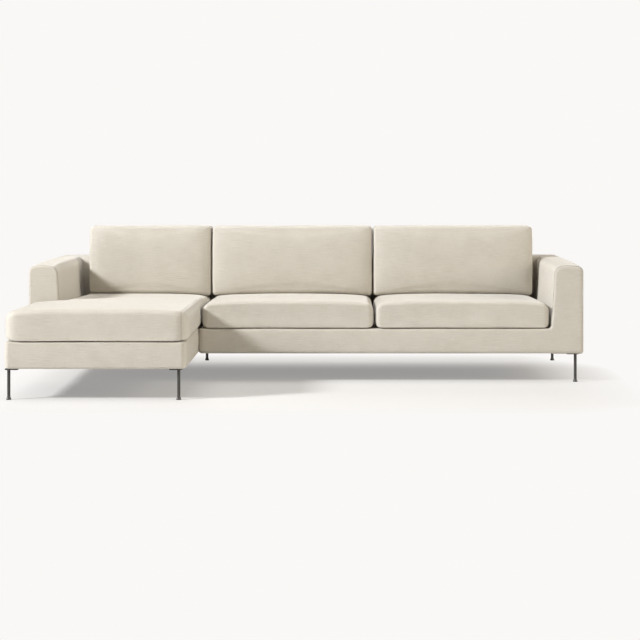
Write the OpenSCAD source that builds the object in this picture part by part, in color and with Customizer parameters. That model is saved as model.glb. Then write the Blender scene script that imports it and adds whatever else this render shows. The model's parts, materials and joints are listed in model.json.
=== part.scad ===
// Corner sofa with a left-hand chaise: two upholstered sections on slim steel legs,
// three loose seat cushions and three loose back cushions.
// Millimetres, Z up. X runs along the back and the chaise is at -X. The front faces -Y.
// The origin is on the floor, under the middle of the overall width and depth.

/* [Overall] */
// Width over both arms
overall_w = 3010; // [2800:10:3300]
// Depth of the chaise, from its cushion's front to the back
chaise_depth = 1600; // [1500:10:1800]
// Depth of the two-seat section
sofa_depth = 980; // [940:5:1050]
// Width of the chaise section, its arm included
chaise_w = 918; // [860:2:1000]
// Height of the arms and back panels above the floor
arm_h = 634; // [600:1:700]

/* [Base] */
// Height of the bases' underside above the floor
leg_h = 157; // [130:1:180]
// Height of the upholstered bases
base_h = 136; // [128:1:160]
// How far the chaise base stands in from the arm's outer side
side_inset = 6; // [0:1:12]
// How far the chaise base stands in from the cushion's front
front_inset = 6; // [2:1:12]

/* [Arms and backs] */
// Thickness of an arm at its top
arm_t = 153; // [130:1:180]
// Thickness of a back panel at its top
back_t = 215; // [190:1:240]
// How much thicker an arm is at seat height
arm_lean = 20; // [8:1:30]
// How much thicker a back panel is at seat height
back_lean = 15; // [8:1:25]
// Radius of the rounded tops
top_r = 30; // [15:1:45]

/* [Upholstery] */
// Thickness of the fabric with its padding
skin = 14; // [10:1:18]
// Thickness of the bare fabric on the undersides
sole_t = 2; // [1:0.5:3]
// Radius of the padded lower edges
edge_r = 12; // [6:1:13]
// Radius of the upright front edges of the bases
corner_r = 20; // [10:1:30]
// Width of the padded lip that runs round a seat deck
lip_w = 12; // [6:1:20]
// Thickness of the deck pads
deck_t = 23; // [18:1:26]

/* [Timber] */
// Thickness of the rails and boards
rail_t = 30; // [24:1:34]
// Leg length of the corner blocks
block_l = 70; // [50:1:90]
// Number of posts in a chaise back frame
chaise_posts = 3; // [2:1:4]
// Number of posts in the two-seat section's back frame
sofa_posts = 5; // [3:1:6]
// Number of posts in an arm frame
arm_posts = 4; // [2:1:5]
// Width of the elastic straps across the back frames
strap_w = 50; // [30:1:60]
// Number of straps, one above the other
strap_rows = 4; // [2:1:5]

/* [Springs] */
// Diameter of the spring wire
wire_d = 4; // [3:0.2:4.6]
// Distance from one bar of a spring to the next
spring_pitch = 40; // [34:1:50]
// Length of a spring's bars, without their bends
spring_bar = 26; // [24:1:36]
// Springs across the chaise in front of the arm
front_springs = 4; // [3:1:5]
// Springs across the chaise beside the arm
rear_springs = 5; // [4:1:6]
// Springs under each of the two seats
seat_springs = 5; // [4:1:6]
// Width of a spring clip
clip_w = 20; // [14:1:22]
// Length of a spring clip
clip_l = 13; // [11:1:15]

/* [Seat cushions] */
// Width of the middle seat cushion
middle_w = 943; // [850:1:1000]
// How far the chaise cushion runs past the join of the two sections
past_join = 16; // [0:1:24]
// How far the seat cushions stand out in front of their base
seat_overhang = 2; // [0:1:10]
// Height of a seat cushion's front edge
seat_t = 148; // [130:1:160]
// Height of the chaise cushion's front edge
chaise_t = 162; // [140:1:175]
// Height of the seat cushions where the back cushions stand
seat_rear_t = 137; // [125:1:145]
// Rise of a seat cushion's middle
seat_crown = 9; // [4:1:20]
// Drop of a seat cushion's top towards its ends
seat_drop = 15; // [8:1:26]
// Radius of the upper edges at a seat cushion's ends
seat_end_r = 40; // [25:1:45]
// Radius of the upper edges at a seat cushion's front and rear
seat_front_r = 22; // [15:1:45]
// Radius of the upper edge at the chaise cushion's front
chaise_front_r = 40; // [25:1:45]
// Radius of the lower edges at a seat cushion's ends
seat_foot_r = 24; // [12:1:30]
// Radius of the lower edges at a seat cushion's front and rear
front_foot_r = 11; // [8:1:24]
// How far a cushion's sides pull in between its corners
side_pull = 5; // [2:1:9]
// Radius of a seat cushion's corners, seen from above
seat_corner_r = 24; // [16:1:45]
// Radius of the chaise cushion's front corner beside the seats
chaise_corner_r = 34; // [24:1:80]
// Radius of the chaise cushion's outer front corner
chaise_outer_r = 34; // [24:1:70]
// Radius of the chaise cushion's inner corner beside the arm
notch_r = 24; // [15:1:30]

/* [Back cushions] */
// Height of a back cushion
back_cushion_h = 395; // [360:1:430]
// Thickness of a back cushion at its corners
back_cushion_t = 146; // [130:1:160]
// Rise of a back cushion's face from its two sides
back_side_rise = 20; // [8:1:26]
// Rise of a back cushion's face from its top and bottom
back_top_rise = 10; // [4:1:16]
// Radius of the edges of a back cushion's face
back_edge_r = 14; // [8:1:30]
// Radius of a back cushion's corners
back_corner_r = 22; // [18:1:32]
// Radius of the edge between a back cushion's rear face and its sides
back_rear_r = 14; // [8:1:20]
// Gap between the right back cushion and its arm
back_side_gap = 41; // [20:1:60]
// Gap between the chaise's back cushion and its arm
chaise_side_gap = 63; // [30:1:80]

/* [Legs] */
// Side of the square leg plates
plate_w = 64; // [56:1:70]
// Thickness of the leg plates
plate_t = 6; // [3:0.5:8]
// Radius of the plates' corners
plate_r = 4; // [1:1:8]
// Diameter of a leg
rod_d = 16; // [12:1:20]
// Distance from a leg's axis to the plate's outer edges
rod_edge = 17; // [14:1:20]
// Distance from a leg's axis to the outer side of an arm
leg_inset = 38; // [32:1:45]
// Distance from a leg's axis to the side of the chaise base
base_leg_inset = 19; // [18:1:28]
// Distance from a front leg's axis to the front
front_leg_inset = 38; // [34:1:60]
// Distance from a rear leg's axis to the back
rear_leg_inset = 60; // [45:1:70]
// Diameter of a foot
foot_d = 25; // [22:1:32]
// Height of a foot
foot_h = 20; // [14:1:24]
// Height of a foot's flat rim
rim_h = 5; // [2:0.5:7]
// Diameter of a foot's spigot
spigot_d = 8; // [6:1:9]
// Length of a foot's spigot
spigot_l = 20; // [12:1:30]

/* [Fasteners] */
// Diameter of the plate screws
screw_d = 5; // [4:0.5:6]
// Length of the plate screws
screw_l = 30; // [22:1:32]
// Diameter of the coach screws and connector bolts
bolt_d = 8; // [6:1:10]
// Length of the coach screws in the boards of the arms and backs
coach_l = 50; // [35:1:60]
// Thickness of the connector plates
link_t = 3; // [2:0.5:5]
// Side of the square connector plates
link_w = 60; // [44:1:70]
// Distance from the seats' front to the front connector
link_front = 150; // [130:5:200]
// Distance from the rear rails to the rear connector
link_rear = 120; // [115:5:200]

/* [Hidden] */
$fn = 48;

// Clearances
fit = 0.4;          // a cushion and what it rests on
soft_gap = 3;       // two cushions side by side
arm_gap = 6;        // a seat cushion and the arm beside it
stand_gap = 0.8;    // a back cushion and the seat cushion under it
core_margin = 26;   // cover and wadding round a cushion's core, half as much behind and below
cut = 1;            // how far a cutting shape runs past what it cuts
corner_rest = 3;    // radius that a cushion's corner keeps where its form is set in
far = 1000;         // more than any inset

// Main planes
x_out = overall_w / 2;
x_arm = x_out - arm_t;
x_foot = x_arm - arm_lean;
x_join = chaise_w - x_out;
x_left = side_inset - x_out;
x_split = x_join + past_join + middle_w;
y_rear = chaise_depth / 2;
y_front = front_inset - y_rear;
y_sofa = y_rear - sofa_depth;
y_back = y_rear - back_t;
y_foot = y_back - back_lean;
z_deck = leg_h + base_h;
z_pad = z_deck - deck_t;
z_frame = leg_h + sole_t;

// Springs and clips lie between the rails and the deck pads
clip_h = 2 * wire_d;
rail_top = z_pad - clip_h;
spring_z = rail_top + clip_h / 2;
spring_seat = 8;    // how far a spring's end bar lies over its rail
bend_steps = 6;     // straight pieces in each bend of a spring

// Timber places
right_rail_x = x_join - skin - rail_t;
left_rail_x = x_left + skin;
inner_rail_x = rail_t - x_foot;
sofa_rail_x = x_join + skin;
frame_x = x_arm + skin;
frame_y = y_back + skin;
back_end_x = x_arm + skin / 2;   // the back frames end short of the mitre line
rear_rail_y = y_foot - rail_t;

// Cushion places
seat_x0 = x_join + past_join + soft_gap / 2;
seat_y0 = y_sofa - seat_overhang;
seat_y1 = y_foot - fit;
face_edge = y_back - back_cushion_t - back_side_rise - back_top_rise;
back_z = z_deck + seat_rear_t;

// Small forms of the fasteners, straps and feet
head_h = 3;         // height of a plate screw's head
head_share = 1.8;   // its width as a share of its screw
bolt_head_h = 5.5;
across = 1.6;       // width of a bolt's head or nut as a share of its bolt
nut_share = 0.8;    // height of a nut as a share of its bolt
strap_t = 2;
strap_set = 4;      // how far the straps lie behind the front of their posts
collar = [3, 5];    // height of the weld round a leg's top, and how much wider it is
flare = 0.06;       // depth of a foot's hollow flare as a share of its length
rim_step = 0.5;     // how much a foot narrows above its rim

// Spacing of the points along the straight sides of the soft forms
seat_step = 91;
chaise_step = 96;
back_step = 80;

// Box between two opposite corners
module box(a, b) translate(a) cube(b - a);

// Extrusions of a drawn profile along each axis, between two places
module along_x(x0, x1) translate([x0, 0, 0]) rotate([90, 0, 90]) linear_extrude(x1 - x0) children();
module along_y(y0, y1) translate([0, y1, 0]) rotate([90, 0, 0]) linear_extrude(y1 - y0) children();
module along_z(z0, z1) translate([0, 0, z0]) linear_extrude(z1 - z0) children();

// Rectangle with its own radius at each corner, from the lower left anticlockwise
module soft_rect(a, b, r) difference() {
    translate(a) square(b - a);
    corner_cut(a, [1, 1], r[0]);
    corner_cut([b.x, a.y], [-1, 1], r[1]);
    corner_cut(b, [-1, -1], r[2]);
    corner_cut([a.x, b.y], [1, -1], r[3]);
}
module corner_cut(c, inward, r) if (r > 0) difference() {
    translate(c + inward * (r - cut) / 2) square(r + cut, center = true);
    translate(c + inward * r) circle(r);
}

// Soft forms: an outline is a list of [place, outward normal, pull between corners,
// greatest inset], so that a tight corner doesn't fold over where a ring is set far in
function unit(v) = v / norm(v);
function arc_of(a, b, c, r, n) =
    let (u = unit(a - b), v = unit(c - b), side = cross(v, u) > 0 ? 1 : -1)
    [for (i = [0:n]) let (t = 90 * i / n, d = -(v * cos(t) + u * sin(t)))
        [b + (u + v) * r + d * r, d * side, 0, side > 0 ? r - corner_rest : far]];
function edge_of(p, q, step) =
    let (k = max(2, ceil(norm(q - p) / step)), d = unit(q - p))
    [for (i = [1:k - 1]) [p + (q - p) * i / k, [d.y, -d.x], sin(180 * i / k), far]];
function outline(corners, step) =
    let (n = len(corners), place = [for (c = corners) [c[0], c[1]]],
        arcs = [for (i = [0:n - 1])
            arc_of(place[(i + n - 1) % n], place[i], place[(i + 1) % n], corners[i][2], 4)])
    [for (i = [0:n - 1]) each concat(arcs[i], edge_of(arcs[i][4][0], arcs[(i + 1) % n][0][0], step))];

// A ring of points round the outline, set in by a share of a radius and then drawn to a
// centre. A radius is a function of the outward normal, and a height of the place and normal.
function ring(line, radius, part, share, centre, pull, z) =
    [for (p = line)
        let (q = p[0] - p[1] * (min(radius(p[1]) * part, p[3]) + pull * p[2] * abs(p[1].x)),
            s = centre + (q - centre) * share)
        [s.x, s.y, z(s, p[1])]];

// A crowned cushion: flat below, rounded lower and upper edges, its top given by a function
function cushion_rings(line, centre, z0, top, foot_r, edge_r, pull) = concat(
    [for (s = [0.5, 0.94]) ring(line, foot_r, 1, s, centre, pull, function(p, n) z0)],
    [for (a = [-90, -55, -25])
        ring(line, foot_r, 1 - cos(a), 1, centre, pull,
            function(p, n) z0 + foot_r(n) * (1 + sin(a)))],
    [ring(line, foot_r, 0, 1, centre, 0,
        function(p, n) (z0 + foot_r(n) + top(p) - edge_r(n)) / 2)],
    [for (a = [20, 45, 68, 90])
        ring(line, edge_r, 1 - cos(a), 1, centre, pull,
            function(p, n) top(p) - edge_r(n) * (1 - sin(a)))],
    [for (s = [0.93, 0.78, 0.55, 0.28])
        ring(line, edge_r, 1, s, centre, pull, function(p, n) top(p))]
);
function ring_band(n, low) =
    [for (i = [0:n - 1]) let (a = low + i, b = low + (i + 1) % n)
        each [[a, a + n, b + n], [a, b + n, b]]];
module soft_form(rings, centre_low, centre_high) {
    n = len(rings[0]);
    m = len(rings);
    polyhedron(
        points = concat([for (r = rings) each r], [centre_low, centre_high]),
        faces = concat(
            [for (j = [0:m - 2]) each ring_band(n, j * n)],
            [for (i = [0:n - 1]) [n * m, i, (i + 1) % n]],
            [for (i = [0:n - 1]) let (k = (m - 1) * n) [k + i, n * m + 1, k + (i + 1) % n]]
        )
    );
}

// Height of a seat cushion's top: highest behind its front edge, level where a back
// cushion stands, and lower towards its two ends
function along_seat(y, y0, y1) = min(1, max(0, (y - y0) / (y1 - y0)));
function end_drop(x, x0, x1) = seat_drop * pow(abs(2 * x - x0 - x1) / (x1 - x0), 4);
function seat_top(p, x0, x1, y0, front_t) =
    let (v = along_seat(p.y, y0, face_edge))
    z_deck + front_t + (seat_rear_t - front_t) * v + seat_crown * sin(180 * v)
        - end_drop(p.x, x0, x1);

module seat_form(corners, step, centre, x0, x1, y0, front_t, front_r) {
    line = outline(corners, step);
    top = function(p) seat_top(p, x0, x1, y0, front_t);
    foot = function(n) front_foot_r + (seat_foot_r - front_foot_r) * abs(n.x);
    edge = function(n) front_r + (seat_end_r - front_r) * abs(n.x);
    z0 = z_deck + fit;
    soft_form(
        cushion_rings(line, centre, z0, top, foot, edge, side_pull),
        [centre.x, centre.y, z0], [centre.x, centre.y, top(centre)]
    );
}
module straight_seat(x0, x1) {
    difference() {
        seat_form([for (c = [[x0, seat_y0], [x1, seat_y0], [x1, seat_y1], [x0, seat_y1]])
            [c.x, c.y, seat_corner_r]],
            seat_step, [x0 + x1, seat_y0 + seat_y1] / 2, x0, x1, seat_y0, seat_t, seat_front_r);
        seat_core(x0, x1, seat_y0, seat_y1);
    }
}
module seat_core(x0, x1, y0, y1)
    box([x0 + core_margin, y0 + core_margin, z_deck + core_margin / 2],
        [x1 - core_margin, y1 - core_margin, z_deck + seat_rear_t - seat_drop - core_margin / 2]);

// Height of a back panel's front face, which leans back, and how a back cushion follows it
function panel_y(z) = y_back - fit - back_lean * (arm_h - z) / (arm_h - z_deck);
function stand(p, x0, x1) =
    let (rise = pow(1 - min(1, max(0, p.y / back_cushion_h)), 2),
        z = back_z + stand_gap + p.y - end_drop(p.x, x0, x1) * rise)
    [p.x, panel_y(z) - p.z, z];
module back_form(x0, x1, seat0, seat1) {
    h = back_cushion_h;
    r = back_corner_r;
    centre = [(x0 + x1) / 2, h / 2];
    line = outline([[x0, 0, r], [x1, 0, r], [x1, h, r], [x0, h, r]], back_step);
    crown = function(p) back_cushion_t
        + back_side_rise * (1 - pow(abs(p.x - centre.x) * 2 / (x1 - x0), 8))
        + back_top_rise * (1 - pow(abs(p.y - centre.y) / centre.y, 5));
    rear = function(n) back_rear_r;
    face = function(n) back_edge_r;
    flat = cushion_rings(line, centre, 0, crown, rear, face, side_pull);
    place = function(p) stand(p, seat0, seat1);
    difference() {
        soft_form([for (q = flat) [for (p = q) place(p)]],
            place([centre.x, centre.y, 0]), place([centre.x, centre.y, crown(centre)]));
        back_core(x0, x1);
    }
}
module back_core(x0, x1) {
    z0 = back_z + core_margin;
    rear = panel_y(z0) - core_margin / 2;
    box([x0 + core_margin, rear - back_cushion_t + 2 * core_margin, z0],
        [x1 - core_margin, rear, back_z + back_cushion_h - core_margin]);
}

// Sinuous spring along X: its wire runs up and down across it, with a half-round bend at
// each turn. The line holds the places along the wire, each with the wire's direction.
function spring_line(x0, x1) =
    let (n = round((x1 - x0) / spring_pitch), r = (x1 - x0) / n / 2, last = n % 2 == 0 ? -1 : 1)
    concat(
        [[[x0, -spring_bar / 2], 90]],
        [for (i = [0:n - 1], k = [0:bend_steps])
            let (t = 180 * k / bend_steps, up = i % 2 == 0 ? 1 : -1)
            [[x0 + (2 * i + 1) * r - r * cos(t), up * (spring_bar / 2 + r * sin(t))], up * (90 - t)]],
        [[[x1, -last * spring_bar / 2], -last * 90]]
    );
module spring(x0, x1, y) {
    line = spring_line(x0, x1);
    n = len(line);
    side = [for (q = line) [-sin(q[1]), cos(q[1])] * wire_d / 2];
    translate([0, y, 0]) along_z(spring_z - wire_d / 2, spring_z + wire_d / 2)
        polygon(concat(
            [for (i = [0:n - 1]) line[i][0] + side[i]],
            [for (i = [0:n - 1]) line[n - 1 - i][0] - side[n - 1 - i]]
        ));
}
// Clip round a spring's end bar, nailed to the rail's top
module spring_clip(x, y) difference() {
    box([x - clip_l / 2, y - clip_w / 2, rail_top], [x + clip_l / 2, y + clip_w / 2, z_pad]);
    box([x - wire_d / 2, y - clip_w / 2 - cut, spring_z - wire_d / 2],
        [x + wire_d / 2, y + clip_w / 2 + cut, spring_z + wire_d / 2]);
}

// Springs of the chaise run along X and those of the two seats along Y
function spread(a, b, n) = [for (i = [1:n]) a + (b - a) * i / (n + 1)];
chaise_front_y = spread(y_front + skin + rail_t, y_sofa - rail_t, front_springs);
chaise_rear_y = spread(y_sofa, rear_rail_y, rear_springs);
cross_x = x_split - rail_t / 2;
seat_rows = concat(
    spread(sofa_rail_x + rail_t, cross_x, seat_springs),
    spread(cross_x + rail_t, x_foot - rail_t, seat_springs)
);
spring_x1 = right_rail_x + spring_seat;
front_spring_x0 = left_rail_x + rail_t - spring_seat;
rear_spring_x0 = inner_rail_x - spring_seat;
spring_y0 = y_sofa + skin + rail_t - spring_seat;
spring_y1 = rear_rail_y + spring_seat;
// Turns a piece that runs along X so that it runs along Y, at a place on X
module turned(x) translate([x, 0, 0]) rotate(90) children();

// Legs: place, and the two directions in which the plate's near corner points outward
leg_places = [
    [[x_left + base_leg_inset, front_leg_inset - y_rear], [-1, -1]],
    [[x_join - leg_inset, front_leg_inset - y_rear], [1, -1]],
    [[leg_inset - x_out, y_rear - rear_leg_inset], [-1, 1]],
    [[x_join - leg_inset, y_rear - rear_leg_inset], [1, 1]],
    [[x_out - leg_inset, y_sofa + front_leg_inset], [1, -1]],
    [[x_out - leg_inset, y_rear - rear_leg_inset], [1, 1]]
];
// The three screws of each plate stand at its corners that the leg leaves free
function plate_screws(leg) =
    let (d = leg[1] * (plate_w - 2 * rod_edge), p = leg[0])
    [[p.x, p.y - d.y], [p.x - d.x, p.y], [p.x - d.x, p.y - d.y]];
module screw_holes(leg, d) for (p = plate_screws(leg))
    translate([p.x, p.y, leg_h - plate_t - cut]) cylinder(h = screw_l + plate_t + 2 * cut, d = d);
module screw_holes_up(leg) for (p = plate_screws(leg))
    translate([p.x, p.y, leg_h - plate_t]) cylinder(h = screw_l, d = screw_d);
module leg_and_plate(i) color("dimgray") {
    p = leg_places[i][0];
    out = leg_places[i][1];
    mid = p + out * (rod_edge - plate_w / 2);
    half = [plate_w, plate_w] / 2;
    difference() {
        along_z(leg_h - plate_t, leg_h) soft_rect(mid - half, mid + half, [for (i = [1:4]) plate_r]);
        screw_holes(leg_places[i], screw_d);
    }
    difference() {
        union() {
            translate([p.x, p.y, foot_h]) cylinder(h = leg_h - plate_t - foot_h, d = rod_d);
            translate([p.x, p.y, leg_h - plate_t - collar[0]])
                cylinder(h = collar[0], d1 = rod_d, d2 = rod_d + collar[1]);
        }
        translate([p.x, p.y, foot_h - cut]) cylinder(h = spigot_l + cut, d = spigot_d);
    }
}
// Bell-shaped foot with a flat rim, and its spigot in the leg
module foot(p) translate(p) {
    low = [foot_d / 2 - rim_step, rim_h];
    high = [rod_d / 2, foot_h];
    chord = high - low;
    depth = norm(chord) * flare;
    sweep_r = (norm(chord) * norm(chord) / 4 + depth * depth) / (2 * depth);
    hollow = (low + high) / 2 + [chord.y, -chord.x] / norm(chord) * (sweep_r - depth);
    rotate_extrude() union() {
        square([foot_d / 2, rim_h]);
        difference() {
            polygon([[0, rim_h], low, high, [0, foot_h]]);
            translate(hollow) circle(sweep_r, $fn = 96);
        }
    }
    translate([0, 0, foot_h]) cylinder(h = spigot_l, d = spigot_d);
}

// Coach screws: along X into the arms and along Y into the backs, low in the bases
coach_z = z_frame + rail_t / 2;
arm_screw_y = spread(y_sofa, rear_rail_y, 3);
chaise_screw_x = spread(inner_rail_x, right_rail_x, 2);
sofa_screw_x = concat(
    spread(sofa_rail_x + rail_t, cross_x, 2),
    spread(cross_x + rail_t, x_foot - rail_t, 2)
);
module coach_screw(shank) {
    cylinder(h = shank, d = bolt_d);
    translate([0, 0, -bolt_head_h]) cylinder(h = bolt_head_h, d = bolt_d * across, $fn = 6);
}
module arm_side_screws() for (y = arm_screw_y)
    translate([x_foot - rail_t, y, coach_z]) rotate([0, 90, 0])
        coach_screw(frame_x + coach_l - x_foot + rail_t);
module arm_holes() for (y = arm_screw_y)
    translate([x_foot - rail_t - cut, y, coach_z]) rotate([0, 90, 0])
        cylinder(h = frame_x + coach_l - x_foot + rail_t + cut, d = bolt_d);
module back_side_screws(places) for (x = places)
    translate([x, rear_rail_y, coach_z]) rotate([-90, 0, 0])
        coach_screw(frame_y + coach_l - rear_rail_y);
module back_holes(places) for (x = places)
    translate([x, rear_rail_y - cut, coach_z]) rotate([-90, 0, 0])
        cylinder(h = frame_y + coach_l - rear_rail_y + cut, d = bolt_d);
module left_side() mirror([1, 0, 0]) children();

// Connectors between the two sections: plate, rail, two skins, rail, plate
link_y = [y_sofa + link_front, rear_rail_y - link_rear];
link_z = (z_frame + rail_top) / 2;
link_x0 = right_rail_x - link_t;
link_x1 = sofa_rail_x + rail_t + link_t;
module link_holes() for (y = link_y)
    translate([link_x0 - cut, y, link_z]) rotate([0, 90, 0])
        cylinder(h = link_x1 - link_x0 + 2 * cut, d = bolt_d);

// Timber rail between two corners, drilled for what passes through it
module rail(a, b) color("burlywood") difference() {
    box([a.x, a.y, z_frame], [b.x, b.y, rail_top]);
    children();
}
module corner_block(p, d) along_z(z_frame, rail_top)
    polygon(d.x * d.y > 0
        ? [p, p + [d.x * block_l, 0], p + [0, d.y * block_l]]
        : [p, p + [0, d.y * block_l], p + [d.x * block_l, 0]]);

// Plans of the two bases, the chaise's notched for the arm: set in by a distance from their
// free sides, and running past the sides that stand against the arms and backs
module chaise_plan(d, past = 0) polygon([
    [x_left + d, y_front + d], [x_join - d, y_front + d], [x_join - d, y_foot + past],
    [-x_foot - past, y_foot + past], [-x_foot - past, y_sofa + past], [x_left + d, y_sofa + past]
]);
module sofa_plan(d, past = 0) translate([x_join + d, y_sofa + d])
    square([x_foot - x_join - d + past, y_foot - y_sofa - d + past]);

module chaise_front_rail()
    rail([left_rail_x, y_front + skin], [right_rail_x + rail_t, y_front + skin + rail_t]) {
        screw_holes_up(leg_places[0]);
        screw_holes_up(leg_places[1]);
    }
module chaise_left_rail()
    rail([left_rail_x, y_front + skin + rail_t], [left_rail_x + rail_t, y_sofa - rail_t])
        screw_holes_up(leg_places[0]);
module chaise_middle_rail() rail([left_rail_x, y_sofa - rail_t], [right_rail_x, y_sofa]);
module chaise_inner_rail() rail([-x_foot, y_sofa], [inner_rail_x, rear_rail_y]) left_side() arm_holes();
module chaise_right_rail()
    rail([right_rail_x, y_front + skin + rail_t], [right_rail_x + rail_t, rear_rail_y]) {
        screw_holes_up(leg_places[1]);
        link_holes();
    }
module chaise_rear_rail()
    rail([-x_foot, rear_rail_y], [right_rail_x + rail_t, y_foot]) back_holes(chaise_screw_x);
module chaise_corner_blocks() color("tan") {
    front_y = y_front + skin + rail_t;
    difference() {
        union() {
            corner_block([left_rail_x + rail_t, front_y], [1, 1]);
            corner_block([right_rail_x, front_y], [-1, 1]);
        }
        screw_holes_up(leg_places[0]);
        screw_holes_up(leg_places[1]);
    }
    corner_block([inner_rail_x, rear_rail_y], [1, -1]);
    corner_block([right_rail_x, rear_rail_y], [-1, -1]);
}
module chaise_springs() color("silver") {
    for (y = chaise_front_y) spring(front_spring_x0, spring_x1, y);
    for (y = chaise_rear_y) spring(rear_spring_x0, spring_x1, y);
}
module chaise_spring_clips() color("gray") {
    for (y = chaise_front_y, x = [front_spring_x0, spring_x1]) spring_clip(x, y);
    for (y = chaise_rear_y, x = [rear_spring_x0, spring_x1]) spring_clip(x, y);
}
module chaise_deck_pad() color("linen") along_z(z_pad, z_deck) chaise_plan(skin + lip_w);
module chaise_dust_cover() color("dimgray") difference() {
    along_z(leg_h, z_frame) chaise_plan(skin);
    screw_holes_up(leg_places[0]);
    screw_holes_up(leg_places[1]);
}
module chaise_base_cover() color("bisque") difference() {
    intersection() {
        along_z(leg_h - cut, z_deck + cut) difference() {
            chaise_plan(0);
            corner_cut([x_left, y_front], [1, 1], corner_r);
            corner_cut([x_join, y_front], [-1, 1], corner_r);
        }
        along_x(x_left - cut, x_join + cut)
            soft_rect([y_front, leg_h], [y_foot, z_deck], [edge_r, 0, 0, edge_r]);
        along_y(y_front - cut, y_foot + cut)
            soft_rect([x_left, leg_h], [x_join, z_deck], [edge_r, edge_r, edge_r, edge_r]);
    }
    along_z(leg_h - cut, rail_top) chaise_plan(skin, cut);
    along_z(rail_top - cut, z_deck + cut) chaise_plan(skin + lip_w, cut);
    link_holes();
}

// Ladder frame of an arm or back: bottom and top boards with posts between them
module ladder(a, b, posts) color("burlywood") difference() {
    union() {
        box(a, [b.x, b.y, a.z + rail_t]);
        box([a.x, a.y, b.z - rail_t], b);
        for (p = posts) box([p[0].x, p[0].y, a.z], [p[1].x, p[1].y, b.z]);
    }
    children();
}
function posts_x(x0, x1, y0, y1, n) = [for (i = [0:n - 1])
    let (x = x0 + (x1 - x0 - rail_t) * i / (n - 1)) [[x, y0], [x + rail_t, y1]]];
function posts_y(x0, x1, y0, y1, n) = [for (i = [0:n - 1])
    let (y = y0 + (y1 - y0 - rail_t) * i / (n - 1)) [[x0, y], [x1, y + rail_t]]];
frame_z1 = arm_h - skin;
module arm_frame() ladder([frame_x, y_sofa + skin, z_frame], [x_out - skin, y_rear - skin, frame_z1],
    posts_y(frame_x, x_out - skin, y_sofa + skin, y_rear - skin, arm_posts)) {
        arm_holes();
        children();
    }
module right_arm_frame() arm_frame() {
    screw_holes_up(leg_places[4]);
    screw_holes_up(leg_places[5]);
}
module left_arm_frame() left_side() arm_frame() left_side() screw_holes_up(leg_places[2]);
module chaise_back_frame()
    ladder([-back_end_x, frame_y, z_frame], [x_join - skin, y_rear - skin, frame_z1],
        posts_x(-back_end_x, x_join - skin, frame_y, y_rear - skin, chaise_posts)) {
            screw_holes_up(leg_places[3]);
            back_holes(chaise_screw_x);
        }
module sofa_back_frame()
    ladder([sofa_rail_x, frame_y, z_frame], [back_end_x, y_rear - skin, frame_z1],
        posts_x(sofa_rail_x, back_end_x, frame_y, y_rear - skin, sofa_posts))
            back_holes(sofa_screw_x);

// Elastic straps from post to post across a back frame
module webbing(x0, x1, n) color("darkgray") {
    pitch = (x1 - x0 - rail_t) / (n - 1);
    y = frame_y + strap_set;
    for (z = spread(z_frame + rail_t, frame_z1 - rail_t, strap_rows), i = [0:n - 2])
        box([x0 + i * pitch + rail_t, y, z - strap_w / 2],
            [x0 + (i + 1) * pitch, y + strap_t, z + strap_w / 2]);
}
module chaise_back_webbing() webbing(-back_end_x, x_join - skin, chaise_posts);
module sofa_back_webbing() webbing(sofa_rail_x, back_end_x, sofa_posts);

// Covers of the arms and backs meet on the line from the inner to the outer corner
module arm_side() polygon([
    [0, y_sofa - cut], [x_out + cut, y_sofa - cut], [x_out + cut, y_rear],
    [x_out, y_rear], [x_arm, y_back], [x_foot, y_foot], [0, y_foot]
]);
module arm_profile() {
    soft_rect([x_arm, leg_h], [x_out, arm_h], [0, edge_r, top_r, top_r]);
    polygon([[x_foot, leg_h], [x_arm + cut, leg_h], [x_arm + cut, arm_h - top_r],
        [x_arm, arm_h - top_r], [x_foot, z_deck]]);
}
module back_profile() {
    soft_rect([y_back, leg_h], [y_rear, arm_h], [0, edge_r, top_r, top_r]);
    polygon([[y_foot, leg_h], [y_back + cut, leg_h], [y_back + cut, arm_h - top_r],
        [y_back, arm_h - top_r], [y_foot, z_deck]]);
}
module arm_cover() color("bisque") difference() {
    intersection() {
        along_y(y_sofa, y_rear) arm_profile();
        along_x(x_foot - cut, x_out + cut)
            soft_rect([y_sofa, leg_h], [y_rear, arm_h], [edge_r, 0, 0, edge_r]);
        along_z(leg_h - cut, arm_h + cut) arm_side();
    }
    box([frame_x, y_sofa + skin, z_frame], [x_out - skin, y_rear - skin, frame_z1]);
    arm_holes();
    children();
}
module right_arm_cover() arm_cover() {
    screw_holes_up(leg_places[4]);
    screw_holes_up(leg_places[5]);
}
module left_arm_cover() left_side() arm_cover() left_side() screw_holes_up(leg_places[2]);
module back_cover(x0, x1) color("bisque") difference() {
    intersection() {
        along_x(x0, x1) back_profile();
        along_z(leg_h - cut, arm_h + cut) difference() {
            translate([x0 - cut, y_foot - cut]) square([x1 - x0 + 2 * cut, y_rear - y_foot + 2 * cut]);
            if (x1 > 0) arm_side_of(x1);
            else mirror([1, 0]) arm_side_of(-x0);
        }
    }
    children();
}
module arm_side_of(x) polygon([
    [x + 2 * cut, y_foot - 2 * cut], [x + 2 * cut, y_rear], [x, y_rear], [x_arm, y_back],
    [x_foot, y_foot], [x_foot, y_foot - 2 * cut]
]);
module back_void(x0, x1) box([x0, frame_y, z_frame], [x1, y_rear - skin, frame_z1]);
module chaise_back_cover() back_cover(-x_out, x_join) {
    back_void(skin - x_out, x_join - skin);
    back_holes(chaise_screw_x);
    screw_holes_up(leg_places[3]);
    screw_holes_up(leg_places[2]);
}
module sofa_back_cover() back_cover(x_join, x_out) {
    back_void(sofa_rail_x, x_out - skin);
    back_holes(sofa_screw_x);
    screw_holes_up(leg_places[5]);
}

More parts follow.
